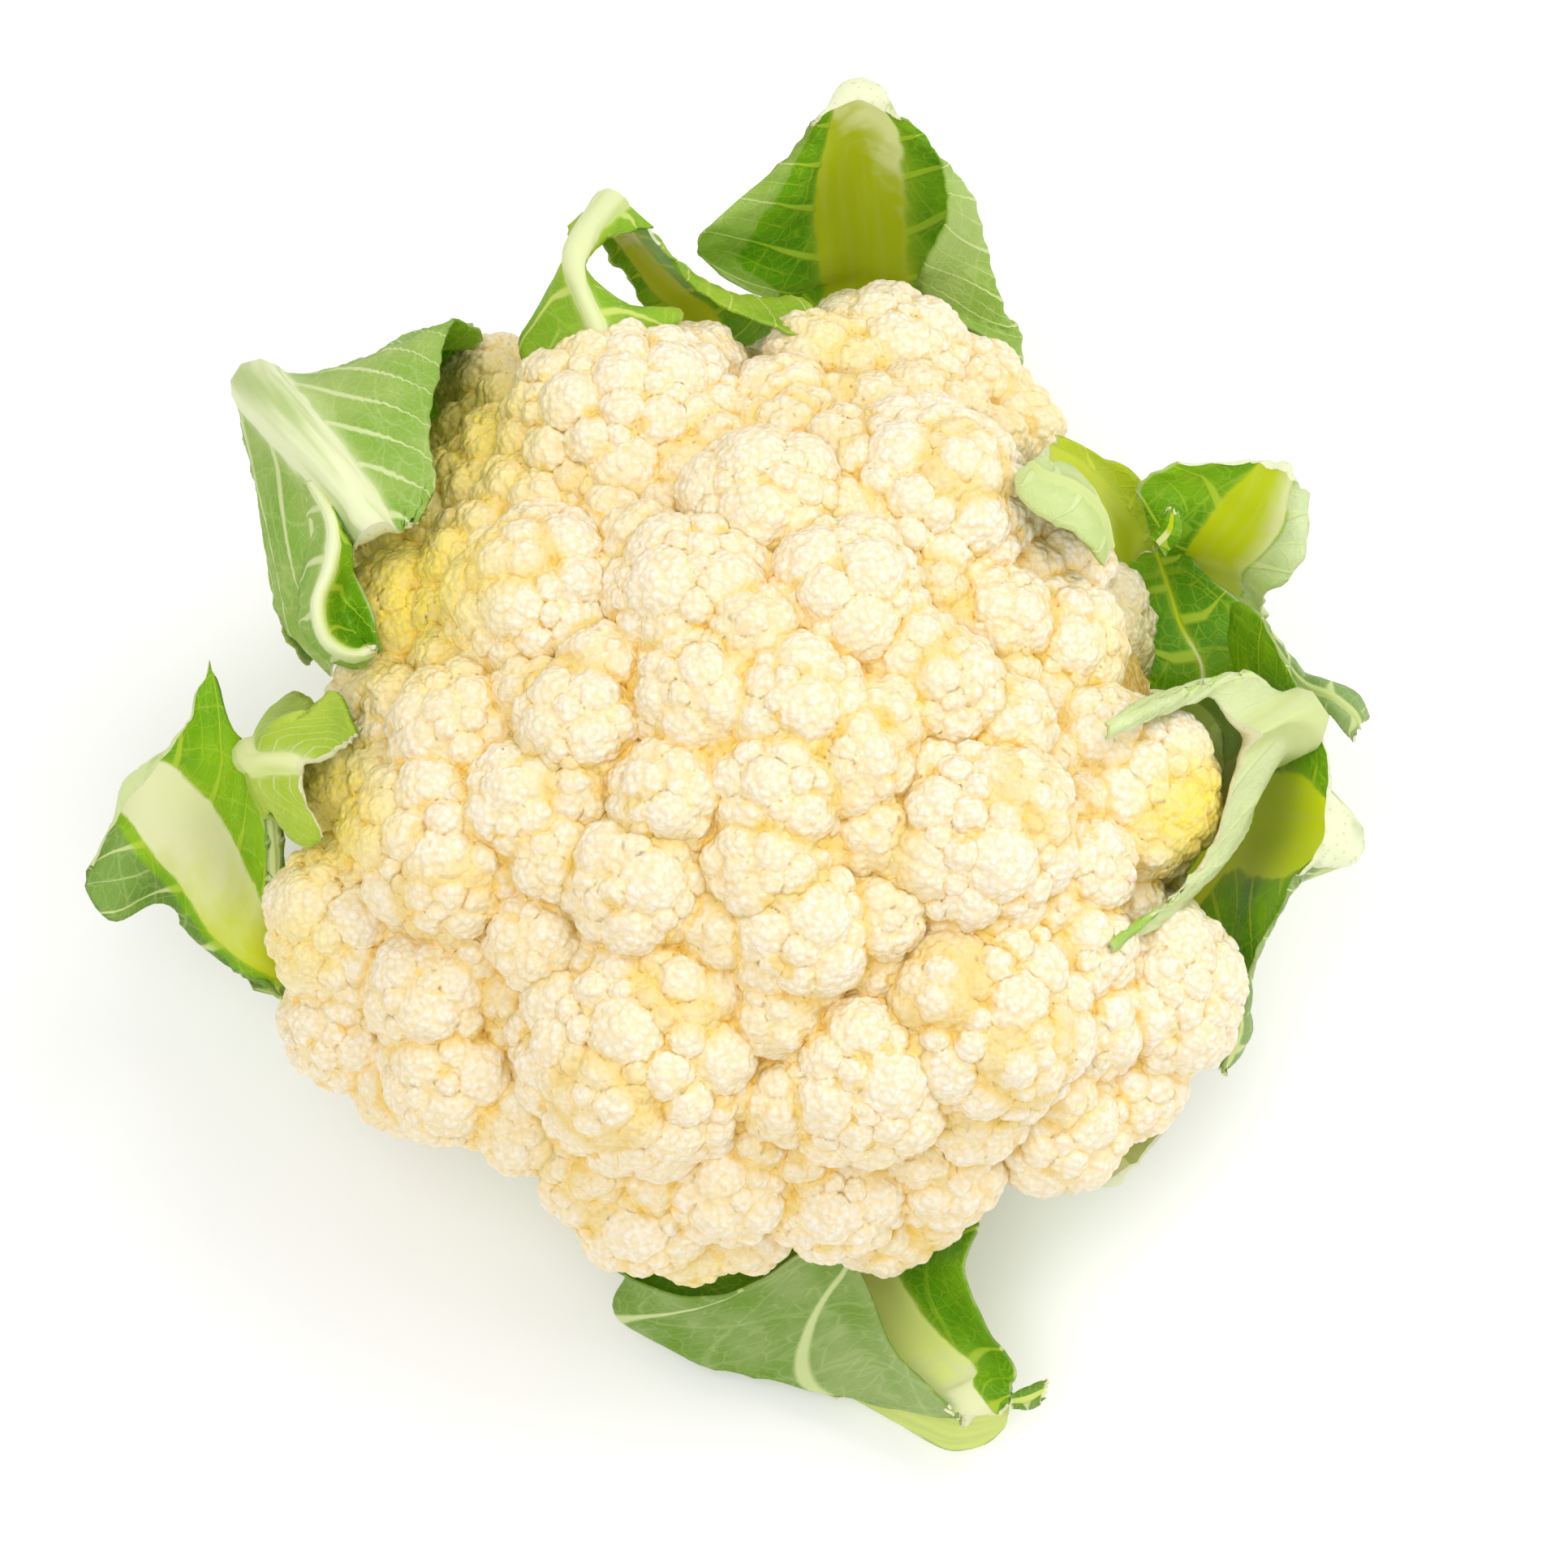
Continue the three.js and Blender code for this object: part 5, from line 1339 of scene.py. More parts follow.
def leaf_sheet(stem, rows, spacing, style, chance):
    """One closed sheet of a leaf, with the layers of values that its finish reads."""
    depths, controls = sheet_controls(stem, rows)
    stem_rows = len(stem[2])
    spans = np.linalg.norm(np.diff(controls, axis=0), axis=2).mean(axis=1)
    pace = np.concatenate([[0], np.cumsum(spans)])
    along = np.linspace(0, pace[-1], max(int(pace[-1] / spacing), 8) + 1)
    places = np.interp(along, pace, np.arange(len(pace)))
    opened = np.ones(len(places))
    if stem_rows:
        opened = smooth_step(stem_rows - 1, stem_rows + 0.5, places)
    lines = curve_through(controls, places)
    spots = spots_across(controls, along, opened, lines, spacing, style["tear"], chance)
    grid, lengths = torn_end(curve_across(lines, spots), along, style["end_tear"], chance)

    steps = np.linalg.norm(np.diff(grid, axis=1), axis=2)
    across = np.concatenate([np.zeros((len(grid), 1)), np.cumsum(steps, axis=1)], axis=1)
    centre = int(np.argmin(np.abs(spots[0] - RIB_LINE)))
    from_rib = across - across[:, centre:centre + 1]
    spot = np.abs(spots - RIB_LINE) * style["rib_spread"]
    outward = np.clip((spot - 1) / 2, 0, 1)
    phase, vein, cross = vein_layers(from_rib, outward, lengths, along, style, chance)
    vein = vein * opened[:, None]
    waves = blade_waves(from_rib, outward, phase, along, style, chance) * opened[:, None]
    grid = grid + grid_normals(grid) * waves[..., None]
    normals = grid_normals(grid)
    rib_depth = np.interp(places, np.arange(len(depths)), depths)
    depth = leaf_depth(rib_depth, from_rib, spot, outward, vein, along, chance)
    face = grid + normals * (INNER_VEIN_HEIGHT * vein * (spot > 1))[..., None]
    back = grid - normals * depth[..., None]

    skin = back_skin(from_rib, spot, along, style, chance)
    back_outer = 1 - skin if style["outer_side"] else np.ones_like(spot)
    none = np.zeros_like(spot)
    flat = np.stack([from_rib, lengths, none], axis=2)
    both = {"spot": spot, "phase": phase, "cross": cross, "cut": none,
            "along": np.tile((along / along[-1])[:, None], (1, grid.shape[1]))}
    number = np.arange(spot.size).reshape(spot.shape)
    quads = grid_quads(number)
    shapes = [
        (face, quads, {"outer": skin, "flat": flat, **both}),
        (back, quads[:, [0, 3, 2, 1]], {"outer": back_outer, "flat": flat + BACK_LAYOUT, **both})]
    for row, inner in ((0, 1), (-1, -2)):
        outwards = unit(grid[row] - grid[inner])
        cap, shares = end_cap(row, outwards, face, back, depth, chance)
        ring = np.ones(cap.shape[:2])
        layers = {key: ring * values[row] for key, values in {"outer": skin, **both}.items()}
        layers["cut"] = ring
        down = np.outer(shares, depth[row])
        layers["flat"] = np.stack([ring * from_rib[row], down, ring * CAP_LAYOUT], -1)
        cap_quads = grid_quads(np.arange(ring.size).reshape(ring.shape))
        shapes.append((cap, cap_quads[:, [1, 2, 3, 0] if row == 0 else [0, 3, 2, 1]], layers))
    shapes = [(points.reshape(-1, 3), faces, {
        key: values.reshape(points.shape[0] * points.shape[1], *values.shape[2:])
        for key, values in layers.items()}) for points, faces, layers in shapes]
    points, faces, layers = join_shapes(shapes)
    strips = []
    for column, order in ((0, 1), (spot.shape[1] - 1, -1)):
        line = number[:, column]
        strip = np.stack([line[:-1], line[:-1] + spot.size, line[1:] + spot.size, line[1:]], -1)
        strips.append(strip[:, ::order])
    return points, np.vstack([faces, *strips]), layers


# ---- finishes ----------------------------------------------------------------

class NodeTree:
    """A short way to lay out a material's nodes."""

    def __init__(self, name):
        self.material = bpy.data.materials.new(name)
        self.material.use_nodes = True
        self.tree = self.material.node_tree
        self.tree.nodes.clear()
        self.output = self.add("ShaderNodeOutputMaterial")
        self.place = self.add("ShaderNodeTexCoord").outputs["Object"]

    def add(self, kind, inputs=None, **settings):
        """A node with its settings and its inputs, each a value or the output of another node."""
        node = self.tree.nodes.new(kind)
        for key, value in settings.items():
            setattr(node, key, value)
        for key, value in (inputs or {}).items():
            if isinstance(value, bpy.types.NodeSocket):
                self.tree.links.new(value, node.inputs[key])
            else:
                node.inputs[key].default_value = value
        return node

    def layer(self, name, output="Fac"):
        """The values that a layer of the mesh holds."""
        return self.add("ShaderNodeAttribute", attribute_name=name).outputs[output]

    def noise(self, place, scale, detail):
        """Soft random clouds."""
        inputs = {"Vector": place, "Scale": scale, "Detail": detail}
        return self.add("ShaderNodeTexNoise", inputs).outputs[0]

    def cells(self, place, scale, randomness=1.0, feature="F1"):
        """The distance to the nearest of scattered seeds, or to the edge between their cells."""
        inputs = {"Vector": place, "Scale": scale, "Randomness": randomness}
        return self.add("ShaderNodeTexVoronoi", inputs, feature=feature).outputs["Distance"]

    def sideways(self, vector):
        """The first part of a vector."""
        return self.add("ShaderNodeSeparateXYZ", {"Vector": vector}).outputs["X"]

    def stretched(self, place, scale):
        """Places scaled by a factor along each axis."""
        return self.add("ShaderNodeMapping", {"Vector": place, "Scale": scale}).outputs[0]

    def maths(self, operation, first, second, clamp=False):
        """A sum on two values."""
        inputs = {0: first, 1: second}
        return self.add("ShaderNodeMath", inputs, operation=operation, use_clamp=clamp).outputs[0]

    def times(self, first, second):
        """Two values multiplied."""
        return self.maths("MULTIPLY", first, second)

    def mix(self, share, first, second):
        """The first colour, passing into the second by a share."""
        first, second = (each if isinstance(each, bpy.types.NodeSocket) else (*each, 1.0)
                         for each in (first, second))
        inputs = {0: share, 6: first, 7: second}
        return self.add("ShaderNodeMix", inputs, data_type="RGBA").outputs[2]

    def ramp(self, value, low, high, start, end):
        """A value that eases from start to end while another goes from low to high."""
        inputs = {"Value": value, "From Min": low, "From Max": high, "To Min": start, "To Max": end}
        return self.add("ShaderNodeMapRange", inputs, interpolation_type="SMOOTHSTEP").outputs[0]

    def line_at_whole(self, value, width):
        """1 where a value passes a whole number, 0 further than the width from it."""
        inside = self.maths("DIVIDE", self.maths("PINGPONG", value, 0.5), width)
        return self.ramp(inside, 0.35, 1.0, 1.0, 0.0)

    def bump(self, height, strength, distance, normal=None):
        """The surface's direction, made uneven by a height, over another bump if given."""
        inputs = {"Height": height, "Strength": strength, "Distance": distance}
        if normal is not None:
            inputs["Normal"] = normal
        return self.add("ShaderNodeBump", inputs).outputs[0]

    def shade(self, **inputs):
        """The finished material, from the shader's inputs."""
        inputs = {key.replace("_", " "): value for key, value in inputs.items()}
        shader = self.add("ShaderNodeBsdfPrincipled", inputs, subsurface_method="BURLEY")
        self.tree.links.new(shader.outputs[0], self.output.inputs[0])
        return self.material


def curd_finish(settings):
    """Cream of random warmth, paler to the right as painted light, with painted shade in every
    groove and crease and painted light from the leaves beside it.
    """
    tree = NodeTree("Curd")
    grains = tree.cells(tree.place, CURD_GRAINS, 0.85)
    # Painted light: the cream turns paler to the right, the side that the light falls from.
    painted_light_rightward = tree.ramp(tree.sideways(tree.place), 0.0, 0.08, 0.0, -0.4)
    tone_and_painted_light = tree.maths("ADD", tree.noise(tree.place, CURD_CLOUDS, 3.0), painted_light_rightward)
    tone_and_painted_light = tree.maths("ADD", tone_and_painted_light, tree.times(tree.layer("tone"), 0.18), clamp=True)
    base = tree.mix(tone_and_painted_light, settings.light_colour, settings.warm_colour)
    # Painted shade: the grooves between beads, knobs and lumps are darkened to gold, and the lines
    # where florets meet more so.
    for layer, strength, tint in (
            ("bead_edge", settings.bead_shade_paint, settings.painted_groove_shade_colour),
            ("knob_edge", settings.knob_shade_paint, settings.painted_groove_shade_colour),
            ("lump_edge", settings.lump_shade_paint, settings.painted_groove_shade_colour),
            ("floret_edge", 0.75 * settings.crease_shade_paint, settings.painted_crease_shade_colour)):
        base = tree.mix(tree.times(tree.layer(layer), strength), base, tint)
    # Painted light: gold-green light from the leaves beside the curd, painted into its colour.
    base = tree.mix(tree.layer("painted_leaf_light"), base, settings.painted_leaf_light_colour)
    # Painted shade: the cupped creases are darkened to gold, and the widest to deep brown.
    for layer, low, high, strength, tint in (
            ("close_crease", 0.02, 0.15, 0.75, settings.painted_crease_shade_colour),
            ("wide_crease", 0.08, 0.22, 0.7, settings.painted_crease_shade_colour),
            ("wide_crease", 0.2, 0.34, 0.8, settings.painted_deep_shade_colour)):
        crease = tree.ramp(tree.layer(layer), low, high, 0.0, strength * settings.crease_shade_paint)
        base = tree.mix(crease, base, tint)
    # Painted shade between the finest grains.
    painted_shade_between_grains = tree.ramp(grains, 0.35, 0.75, 0.0, settings.grain_shade_paint)
    base = tree.mix(painted_shade_between_grains, base, settings.painted_groove_shade_colour)
    specks = tree.ramp(tree.cells(tree.place, CURD_SPECKS), 0.018, 0.034, 0.7, 0.0)
    base = tree.mix(specks, base, settings.speck_colour)
    return tree.shade(
        Base_Color=base, Normal=tree.bump(tree.times(grains, -1.0), 0.65, 0.0009), Roughness=0.62,
        Specular_IOR_Level=0.3, Subsurface_Weight=settings.softness,
        Subsurface_Radius=(1.0, 0.62, 0.25), Subsurface_Scale=0.0018)


def stalk_finish(settings):
    """A streaked green side with pale scars, and a pale cut face with a ring of vessels."""
    tree = NodeTree("Stalk")
    fibre = tree.noise(tree.stretched(tree.place, STALK_FIBRES), 1.0, 3.0)
    cloud = tree.noise(tree.place, STALK_CLOUDS, 3.0)
    grain = tree.noise(tree.place, STALK_GRAINS, 2.0)
    streaks = tree.ramp(fibre, 0.35, 0.65, 0.0, 1.0)
    side = tree.mix(streaks, settings.side_colour, settings.streak_colour)
    side = tree.mix(tree.ramp(cloud, 0.45, 0.7, 0.0, 0.5), side, settings.pith_colour)
    scar = tree.layer("scar")
    side = tree.mix(scar, side, settings.scar_colour)
    rim = tree.times(tree.ramp(scar, 0.05, 0.4, 0.0, 1.0), tree.ramp(scar, 0.5, 0.9, 0.8, 0.0))
    side = tree.mix(rim, side, settings.dry_colour)
    from_pith = tree.layer("from_pith")
    ring = tree.times(
        tree.ramp(from_pith, 0.6, 0.66, 0.0, 1.0), tree.ramp(from_pith, 0.74, 0.8, 1.0, 0.0))
    bundles = tree.ramp(tree.cells(tree.place, STALK_BUNDLES), 0.15, 0.4, 0.9, 0.0)
    bundles = tree.times(bundles, ring)
    face = tree.mix(tree.times(ring, 0.6), settings.pith_colour, settings.streak_colour)
    face = tree.mix(bundles, face, settings.side_colour)
    face = tree.mix(tree.ramp(from_pith, 0.9, 1.0, 0.0, 0.8), face, settings.side_colour)
    face = tree.mix(tree.ramp(cloud, 0.5, 0.72, 0.0, 0.35), face, settings.dry_colour)
    bump = tree.bump(grain, 0.3, 0.0002, tree.bump(fibre, 0.35, 0.0006))
    return tree.shade(
        Base_Color=tree.mix(tree.layer("cut"), side, face), Normal=bump,
        Roughness=tree.ramp(grain, 0.3, 0.7, 0.5, 0.68), Specular_IOR_Level=0.3,
        Subsurface_Weight=0.3, Subsurface_Radius=(0.8, 1.0, 0.3), Subsurface_Scale=0.002)


def leaf_veins(tree, toward_margin, outer, forks):
    """The side veins, their forks and the veins between them, which thin out toward the margin."""
    phase = tree.layer("phase")
    width = tree.ramp(toward_margin, 0.0, 1.0, 0.11, 0.03)
    forked = tree.line_at_whole(tree.times(phase, 2.0), tree.times(width, 1.1))
    forked = tree.times(forked, tree.ramp(toward_margin, 0.3, 0.6, 0.0, forks))
    between = tree.line_at_whole(tree.layer("cross"), 0.05)
    between = tree.times(between, tree.ramp(outer, 0.0, 1.0, 0.35, 0.15))
    veins = tree.maths("MAXIMUM", tree.line_at_whole(phase, width), forked)
    return tree.maths("MAXIMUM", veins, between)


def leaf_rib(tree, flat, outer, streak, blotch, colours):
    """The rib's colour, pale toward its cut end and the stalk, and streaked along its length."""
    along = tree.layer("along")
    share = tree.maths("ADD", along, tree.ramp(blotch, 0.3, 0.7, -0.03, 0.03))
    share = tree.maths("ADD", share, tree.times(tree.sideways(flat), colours["pale_lean"]))
    pale_from = colours["pale_from"]
    pale = tree.ramp(share, pale_from, pale_from + colours["pale_width"], 0.0, 1.0)
    inner = tree.mix(pale, colours["rib"], colours["rib_end"])
    inner = tree.mix(tree.ramp(streak, 0.4, 0.75, 0.0, 0.08), inner, colours["rib_end"])
    inner = tree.mix(tree.ramp(along, 0.3, 0.5, 0.85, 0.0), inner, colours["rib_end"])
    streaks = tree.ramp(streak, 0.42, 0.72, 0.0, colours["streak"])
    return tree.mix(outer, inner, tree.mix(streaks, colours["outer_rib"], colours["outer"]))


def leaf_finish(name, colours, settings):
    """A leaf's face, back, rib, veins and cut end."""
    tree = NodeTree(name)
    flat = tree.layer("flat", "Vector")
    outer, spot = tree.layer("outer"), tree.layer("spot")
    cloud = tree.ramp(tree.noise(tree.place, LEAF_CLOUDS, 3.0), 0.34, 0.68, 0.0, 1.0)
    veins = leaf_veins(tree, tree.ramp(spot, 1.0, 3.0, 0.0, 1.0), outer, colours["forks"])
    large_net = tree.ramp(tree.cells(flat, LARGE_NET, 0.9, "DISTANCE_TO_EDGE"), 0.0, 0.08, 0.8, 0.0)
    fine_net = tree.ramp(tree.cells(flat, FINE_NET, 1.0, "DISTANCE_TO_EDGE"), 0.0, 0.12, 0.35, 0.0)
    net = tree.maths("MAXIMUM", large_net, fine_net)

    vein_colour = tree.mix(outer, colours["inner_vein"], colours["outer_vein"])
    base = tree.mix(outer, tree.mix(cloud, colours["inner_dark"], colours["inner"]),
                    tree.mix(cloud, colours["outer_dark"], colours["outer"]))
    net_tint = tree.ramp(outer, 0.0, 1.0, settings.network, 0.55 * settings.network)
    base = tree.mix(tree.times(net, net_tint), base, vein_colour)
    base = tree.mix(tree.ramp(spot, 1.0, 1.35, 0.45, 0.0), base, vein_colour)
    base = tree.mix(tree.times(veins, 0.85), base, vein_colour)
    base = tree.mix(tree.ramp(spot, 2.93, 3.0, 0.0, 0.5), base, colours["outer_vein"])

    streak = tree.noise(tree.stretched(flat, RIB_STREAKS), 1.0, 2.0)
    blotch = tree.noise(flat, BLOTCHES, 2.0)
    uneven = tree.maths("ADD", spot, tree.ramp(blotch, 0.3, 0.7, -0.05, 0.05))
    ribbed = tree.ramp(uneven, 0.93, 1.1, 1.0, 0.0)
    base = tree.mix(ribbed, base, leaf_rib(tree, flat, outer, streak, blotch, colours))
    dots = tree.ramp(tree.cells(flat, CUT_DOTS), 0.1, 0.3, 0.6, 0.0)
    cut = tree.mix(dots, colours["cut"], colours["cut_dot"])
    cut = tree.mix(tree.ramp(blotch, 0.5, 0.75, 0.0, 0.5), cut, colours["outer"])
    base = tree.mix(tree.layer("cut"), base, cut)

    relief = tree.maths("MAXIMUM", tree.times(net, 0.4), veins)
    relief = tree.times(relief, tree.maths("SUBTRACT", 1.0, ribbed))
    bump = tree.bump(streak, 0.12, 0.0004, tree.bump(relief, 0.5, 0.0005))
    return tree.shade(
        Base_Color=base, Normal=bump, Roughness=tree.ramp(outer, 0.0, 1.0, 0.42, 0.6),
        Specular_IOR_Level=0.22, Subsurface_Weight=settings.softness,
        Subsurface_Radius=(0.6, 1.0, 0.1), Subsurface_Scale=0.003)


def floor_finish():
    """A pale floor with a faint cloudiness."""
    tree = NodeTree("Pale floor")
    base = tree.mix(tree.noise(tree.place, FLOOR_CLOUDS, 5.0), *FLOOR_SHADES)
    return tree.shade(Base_Color=base, Roughness=FLOOR_ROUGHNESS, Emission_Color=WHITE,
                      Emission_Strength=FLOOR_EMISSION)


# ---- settings ----------------------------------------------------------------

def colour_setting(name, description, default):
    """A colour that the user can change."""
    return bpy.props.FloatVectorProperty(
        name=name, description=description, default=default, subtype="COLOR", size=3, min=0, max=1)


def length_setting(name, description, default, low, high):
    """A length that the user can change, in metres."""
    return bpy.props.FloatProperty(
        name=name, description=description, default=default, min=low, max=high, unit="LENGTH",
        precision=5)


def share_setting(name, description, default):
    """A share from 0 to 1 that the user can change."""
    return bpy.props.FloatProperty(
        name=name, description=description, default=default, min=0, max=1, subtype="FACTOR")


def seed_setting(description, default):
    """The seed of what is scattered."""
    return bpy.props.IntProperty(name="Seed", description=description, default=default)


class CurdSettings(bpy.types.PropertyGroup):
    """Sizes and colours of the curd."""

    spacing: length_setting(
        "Surface spacing", "Distance between neighbouring points", 0.00053, 0.0003, 0.003)
    knob: length_setting(
        "Knob width", "Distance between the knobs that cover every lump", 0.0037, 0.001, 0.008)
    knob_height: length_setting("Knob height", "How far the knobs stand out", 0.0005, 0, 0.003)
    bead: length_setting(
        "Bead width", "Distance between the beads that cover every knob", 0.0018, 0.0008, 0.004)
    bead_height: length_setting("Bead height", "How far the beads stand out", 0.0005, 0, 0.002)
    seed: seed_setting("Picks another scatter of lumps and knobs", 11)
    softness: share_setting(
        "Softness", "How much light goes into the curd and comes out again", 0.45)
    # Painted shade: how strongly the grooves between grains, beads, knobs and lumps, and the
    # creases between florets, are darkened.
    grain_shade_paint: share_setting("Grain shade paint", "Strength of the colour between the finest grains", 0.5)
    bead_shade_paint: share_setting("Bead shade paint", "Strength of the colour between beads", 0.35)
    knob_shade_paint: share_setting("Knob shade paint", "Strength of the colour between knobs", 0.25)
    lump_shade_paint: share_setting("Lump shade paint", "Strength of the colour between lumps", 0.52)
    crease_shade_paint: share_setting("Crease shade paint", "Strength of the colour between florets", 0.9)
    light_colour: colour_setting("Pale cream", "The curd's palest cream", (0.985, 0.935, 0.825))
    warm_colour: colour_setting("Warm cream", "The curd's warmer cream", (0.955, 0.84, 0.60))
    # Painted shade: the gold that the grooves between lumps, knobs, beads and grains are darkened
    # to.
    painted_groove_shade_colour: colour_setting("Painted groove shade", "Colour between lumps and knobs", (0.90, 0.71, 0.34))
    # Painted light from the leaves beside the florets: gold-green, and brighter than their shade.
    painted_leaf_light_colour: colour_setting(
        "Painted leaf light", "Colour of the florets that the leaves shade and tint", (0.95, 0.77, 0.11))
    # Painted shade at the bottom of the widest creases.
    painted_deep_shade_colour: colour_setting(
        "Painted deep crease shade", "Colour at the bottom of the widest creases", (0.56, 0.30, 0.04))
    # Painted shade in the creases and where florets meet.
    painted_crease_shade_colour: colour_setting(
        "Crease", "Colour in the creases between florets", (0.87, 0.61, 0.10))
    speck_colour: colour_setting("Speck", "Colour of the few tiny dark specks", (0.42, 0.26, 0.10))


class StalkSettings(bpy.types.PropertyGroup):
    """Colours of the stalk."""

    seed: seed_setting("Picks another unevenness of the stalk", 3)
    side_colour: colour_setting("Side", "The stalk's pale green side", (0.56, 0.63, 0.24))
    streak_colour: colour_setting("Streak", "Paler streaks along the side", (0.72, 0.76, 0.44))
    pith_colour: colour_setting("Pith", "The stalk's pale inside", (0.84, 0.83, 0.62))
    scar_colour: colour_setting("Scar", "Where a leaf was cut away", (0.80, 0.76, 0.52))
    dry_colour: colour_setting("Dry edge", "Where a cut has dried", (0.56, 0.42, 0.20))


class LeafSettings(bpy.types.PropertyGroup):
    """How finely the leaves are made and how they let light through."""

    spacing: length_setting(
        "Surface spacing", "Distance between neighbouring points", 0.0015, 0.0006, 0.004)
    seed: seed_setting("Picks other tears, waves and veins", 5)
    network: share_setting("Vein network", "Strength of the finest veins", 0.4)
    softness: share_setting("Softness", "How much light goes into a leaf and comes out again", 0.2)


class StageSettings(bpy.types.PropertyGroup):
    """The floor, the lights and the camera."""

    lens: bpy.props.FloatProperty(
        name="Lens", description="Focal length of the camera", default=114.0, min=20, max=300,
        unit="CAMERA")
    distance: length_setting("Distance", "From the camera to the middle of the head", 0.9, 0.3, 5)
    elevation: bpy.props.FloatProperty(
        name="Elevation", description="The camera's height above the horizon, as an angle",
        default=math.radians(65), min=0, max=math.pi / 2, unit="ROTATION")
    floor: length_setting("Floor", "Width of the floor", 12.0, 1, 40)


# ---- the stage ---------------------------------------------------------------

def make_floor(scene, width):
    """The floor that the cauliflower lies on."""
    half = width / 2
    mesh = bpy.data.meshes.new("floor")
    corners = [(-half, -half, 0), (half, -half, 0), (half, half, 0), (-half, half, 0)]
    mesh.from_pydata(corners, [], [(0, 1, 2, 3)])
    floor = bpy.data.objects.new("floor", mesh)
    scene.collection.objects.link(floor)
    floor.data.materials.append(floor_finish())


def make_lights(scene):
    """White surroundings and the studio's soft lights."""
    scene.world = bpy.data.worlds.new("Studio")
    scene.world.use_nodes = True
    background = scene.world.node_tree.nodes["Background"]
    background.inputs["Color"].default_value = WHITE
    background.inputs["Strength"].default_value = WORLD_STRENGTH
    scene.view_settings.view_transform = "Standard"
    for name, place, size, power in STUDIO_LIGHTS:
        data = bpy.data.lights.new(name, "AREA")
        data.energy = power
        data.shape = "DISK"
        data.size = size
        lamp = bpy.data.objects.new(name, data)
        scene.collection.objects.link(lamp)
        point_at(lamp, Vector(place), Vector(LIGHTS_AIM) - Vector(place))


def make_camera(scene, settings):
    """The camera, looking down at the head from the front."""
    data = bpy.data.cameras.new("camera")
    data.lens = settings.lens
    data.sensor_width = SENSOR_WIDTH_MM
    camera = bpy.data.objects.new("camera", data)
    scene.collection.objects.link(camera)
    lean = settings.elevation
    toward = Vector((0, -math.cos(lean), math.sin(lean)))
    upward = Vector((0, math.sin(lean), math.cos(lean)))
    aim = Vector(HEAD_CENTRE * MM) + Vector((AIM_RIGHT, 0, 0)) + upward * AIM_UP
    point_at(camera, aim + toward * settings.distance, -toward)
    scene.camera = camera


def point_at(thing, place, direction):
    """Puts a light or camera in its place, turned toward a direction."""
    thing.location = place
    thing.rotation_mode = "QUATERNION"
    thing.rotation_quaternion = direction.to_track_quat("-Z", "Y")


# ---- operators ---------------------------------------------------------------

class CAULIFLOWER_OT_curd(bpy.types.Operator):
    """Make the curd from its florets, each a closed cap of lumps and knobs"""

    bl_idname = "cauliflower.curd"
    bl_label = "Curd"
    bl_options = {"REGISTER", "UNDO"}

    def execute(self, context):
        settings = context.scene.cauliflower_curd
        chance = np.random.default_rng(settings.seed)
        beads = ((settings.knob / MM, settings.knob_height / MM),
                 (settings.bead / MM, settings.bead_height / MM))
        florets = all_florets()
        material = curd_finish(settings)
        shapes = curd_sectors(florets, settings.spacing / MM, beads, chance)
        shapes["bed"] = bed_surface(florets)
        for name, shape in shapes.items():
            points, _, layers = shape
            # The share of painted leaf light at every point.
            layers["painted_leaf_light"] = paint_leaf_light(points)
            add_piece("curd_" + name, shape, material, ["curd"])
        return {"FINISHED"}


class CAULIFLOWER_OT_stalk(bpy.types.Operator):
    """Make the stalk with its cut face and leaf scars"""

    bl_idname = "cauliflower.stalk"
    bl_label = "Stalk"
    bl_options = {"REGISTER", "UNDO"}

    def execute(self, context):
        settings = context.scene.cauliflower_stalk
        shape = stalk_surface(np.random.default_rng(settings.seed))
        add_piece("stalk_side", shape, stalk_finish(settings), ["stalk"])
        return {"FINISHED"}


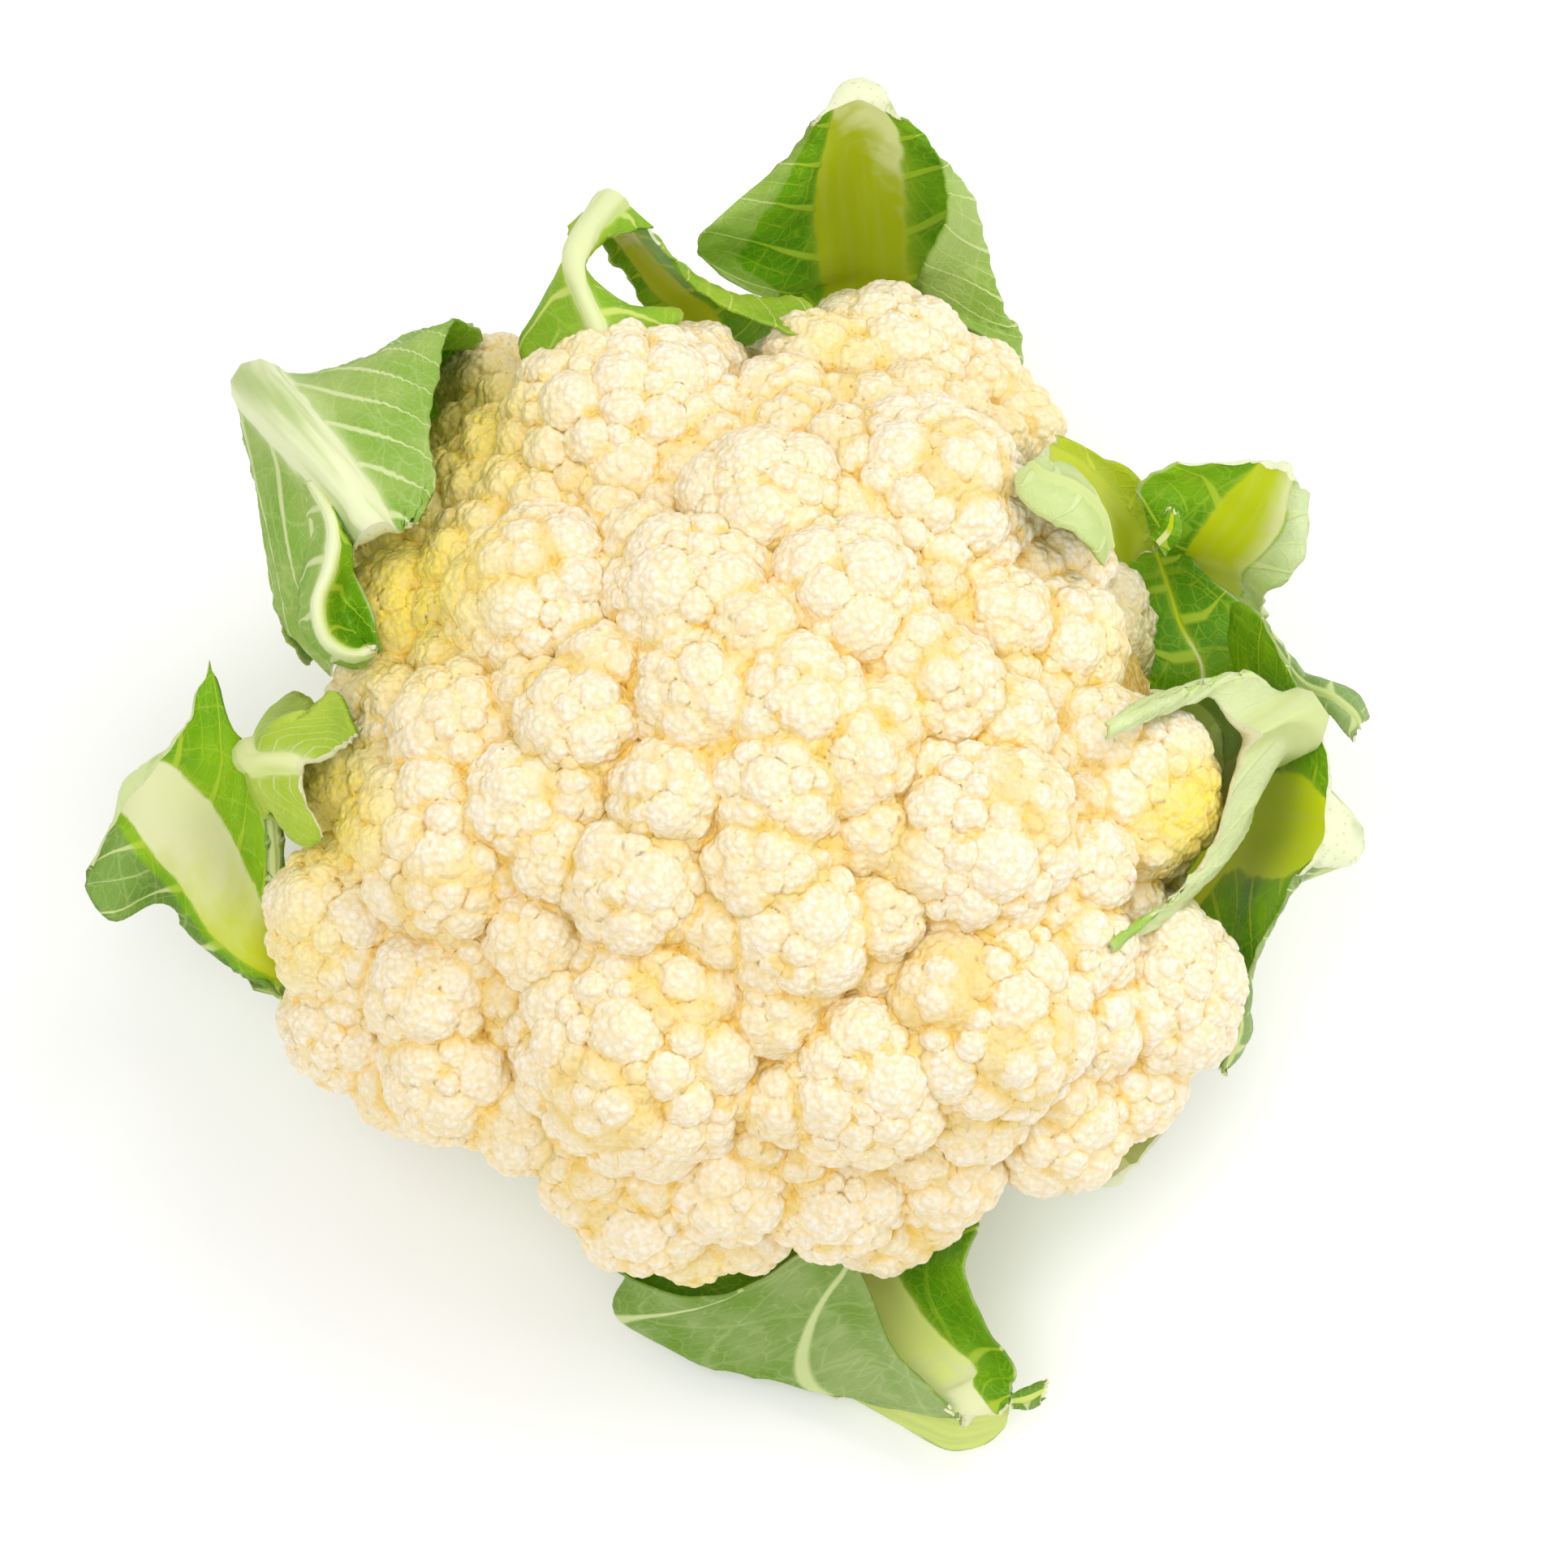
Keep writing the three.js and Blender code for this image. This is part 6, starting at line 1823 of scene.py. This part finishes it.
class CAULIFLOWER_OT_leaves(bpy.types.Operator):
    """Make every trimmed leaf with its rib, veins, waved margins and cut end"""

    bl_idname = "cauliflower.leaves"
    bl_label = "Leaves"
    bl_options = {"REGISTER", "UNDO"}

    def execute(self, context):
        settings = context.scene.cauliflower_leaf
        for order, (name, sheets) in enumerate(LEAVES.items()):
            chance = np.random.default_rng(settings.seed + order)
            shape = join_shapes([
                leaf_sheet(stem, rows, settings.spacing / MM, {**LEAF_STYLE, **style}, chance)
                for style, stem, rows in sheets])
            colours = {**LEAF_LOOK, **LEAF_COLOURS.get(name, {})}
            material = leaf_finish(name + "_finish", colours, settings)
            add_piece(name + "_blade", shape, material, [name])
        return {"FINISHED"}


class CAULIFLOWER_OT_stage(bpy.types.Operator):
    """Set out the floor, the soft lights and the camera"""

    bl_idname = "cauliflower.stage"
    bl_label = "Stage"
    bl_options = {"REGISTER", "UNDO"}

    def execute(self, context):
        settings = context.scene.cauliflower_stage
        make_floor(context.scene, settings.floor)
        make_lights(context.scene)
        make_camera(context.scene, settings)
        return {"FINISHED"}


class CAULIFLOWER_PT_panel(bpy.types.Panel):
    """The cauliflower's pieces, in the sidebar of the 3D view"""

    bl_label = "Cauliflower"
    bl_idname = "CAULIFLOWER_PT_panel"
    bl_space_type = "VIEW_3D"
    bl_region_type = "UI"
    bl_category = "Cauliflower"

    def draw(self, context):
        for name, group, operator in GROUPS:
            box = self.layout.box()
            for key in group.__annotations__:
                box.prop(getattr(context.scene, name), key)
            box.operator(operator.bl_idname)


GROUPS = (
    ("cauliflower_curd", CurdSettings, CAULIFLOWER_OT_curd),
    ("cauliflower_stalk", StalkSettings, CAULIFLOWER_OT_stalk),
    ("cauliflower_leaf", LeafSettings, CAULIFLOWER_OT_leaves),
    ("cauliflower_stage", StageSettings, CAULIFLOWER_OT_stage),
)


def register():
    """Registers every class and hangs the settings on the scene."""
    for name, group, operator in GROUPS:
        bpy.utils.register_class(group)
        bpy.utils.register_class(operator)
        setattr(bpy.types.Scene, name, bpy.props.PointerProperty(type=group))
    bpy.utils.register_class(CAULIFLOWER_PT_panel)


def unregister():
    """Takes back what register does."""
    bpy.utils.unregister_class(CAULIFLOWER_PT_panel)
    for name, group, operator in reversed(GROUPS):
        delattr(bpy.types.Scene, name)
        bpy.utils.unregister_class(operator)
        bpy.utils.unregister_class(group)


def main():
    """Makes the stage and every piece."""
    register()
    bpy.ops.cauliflower.stage()
    bpy.ops.cauliflower.curd()
    bpy.ops.cauliflower.stalk()
    bpy.ops.cauliflower.leaves()


if __name__ == "__main__":
    main()
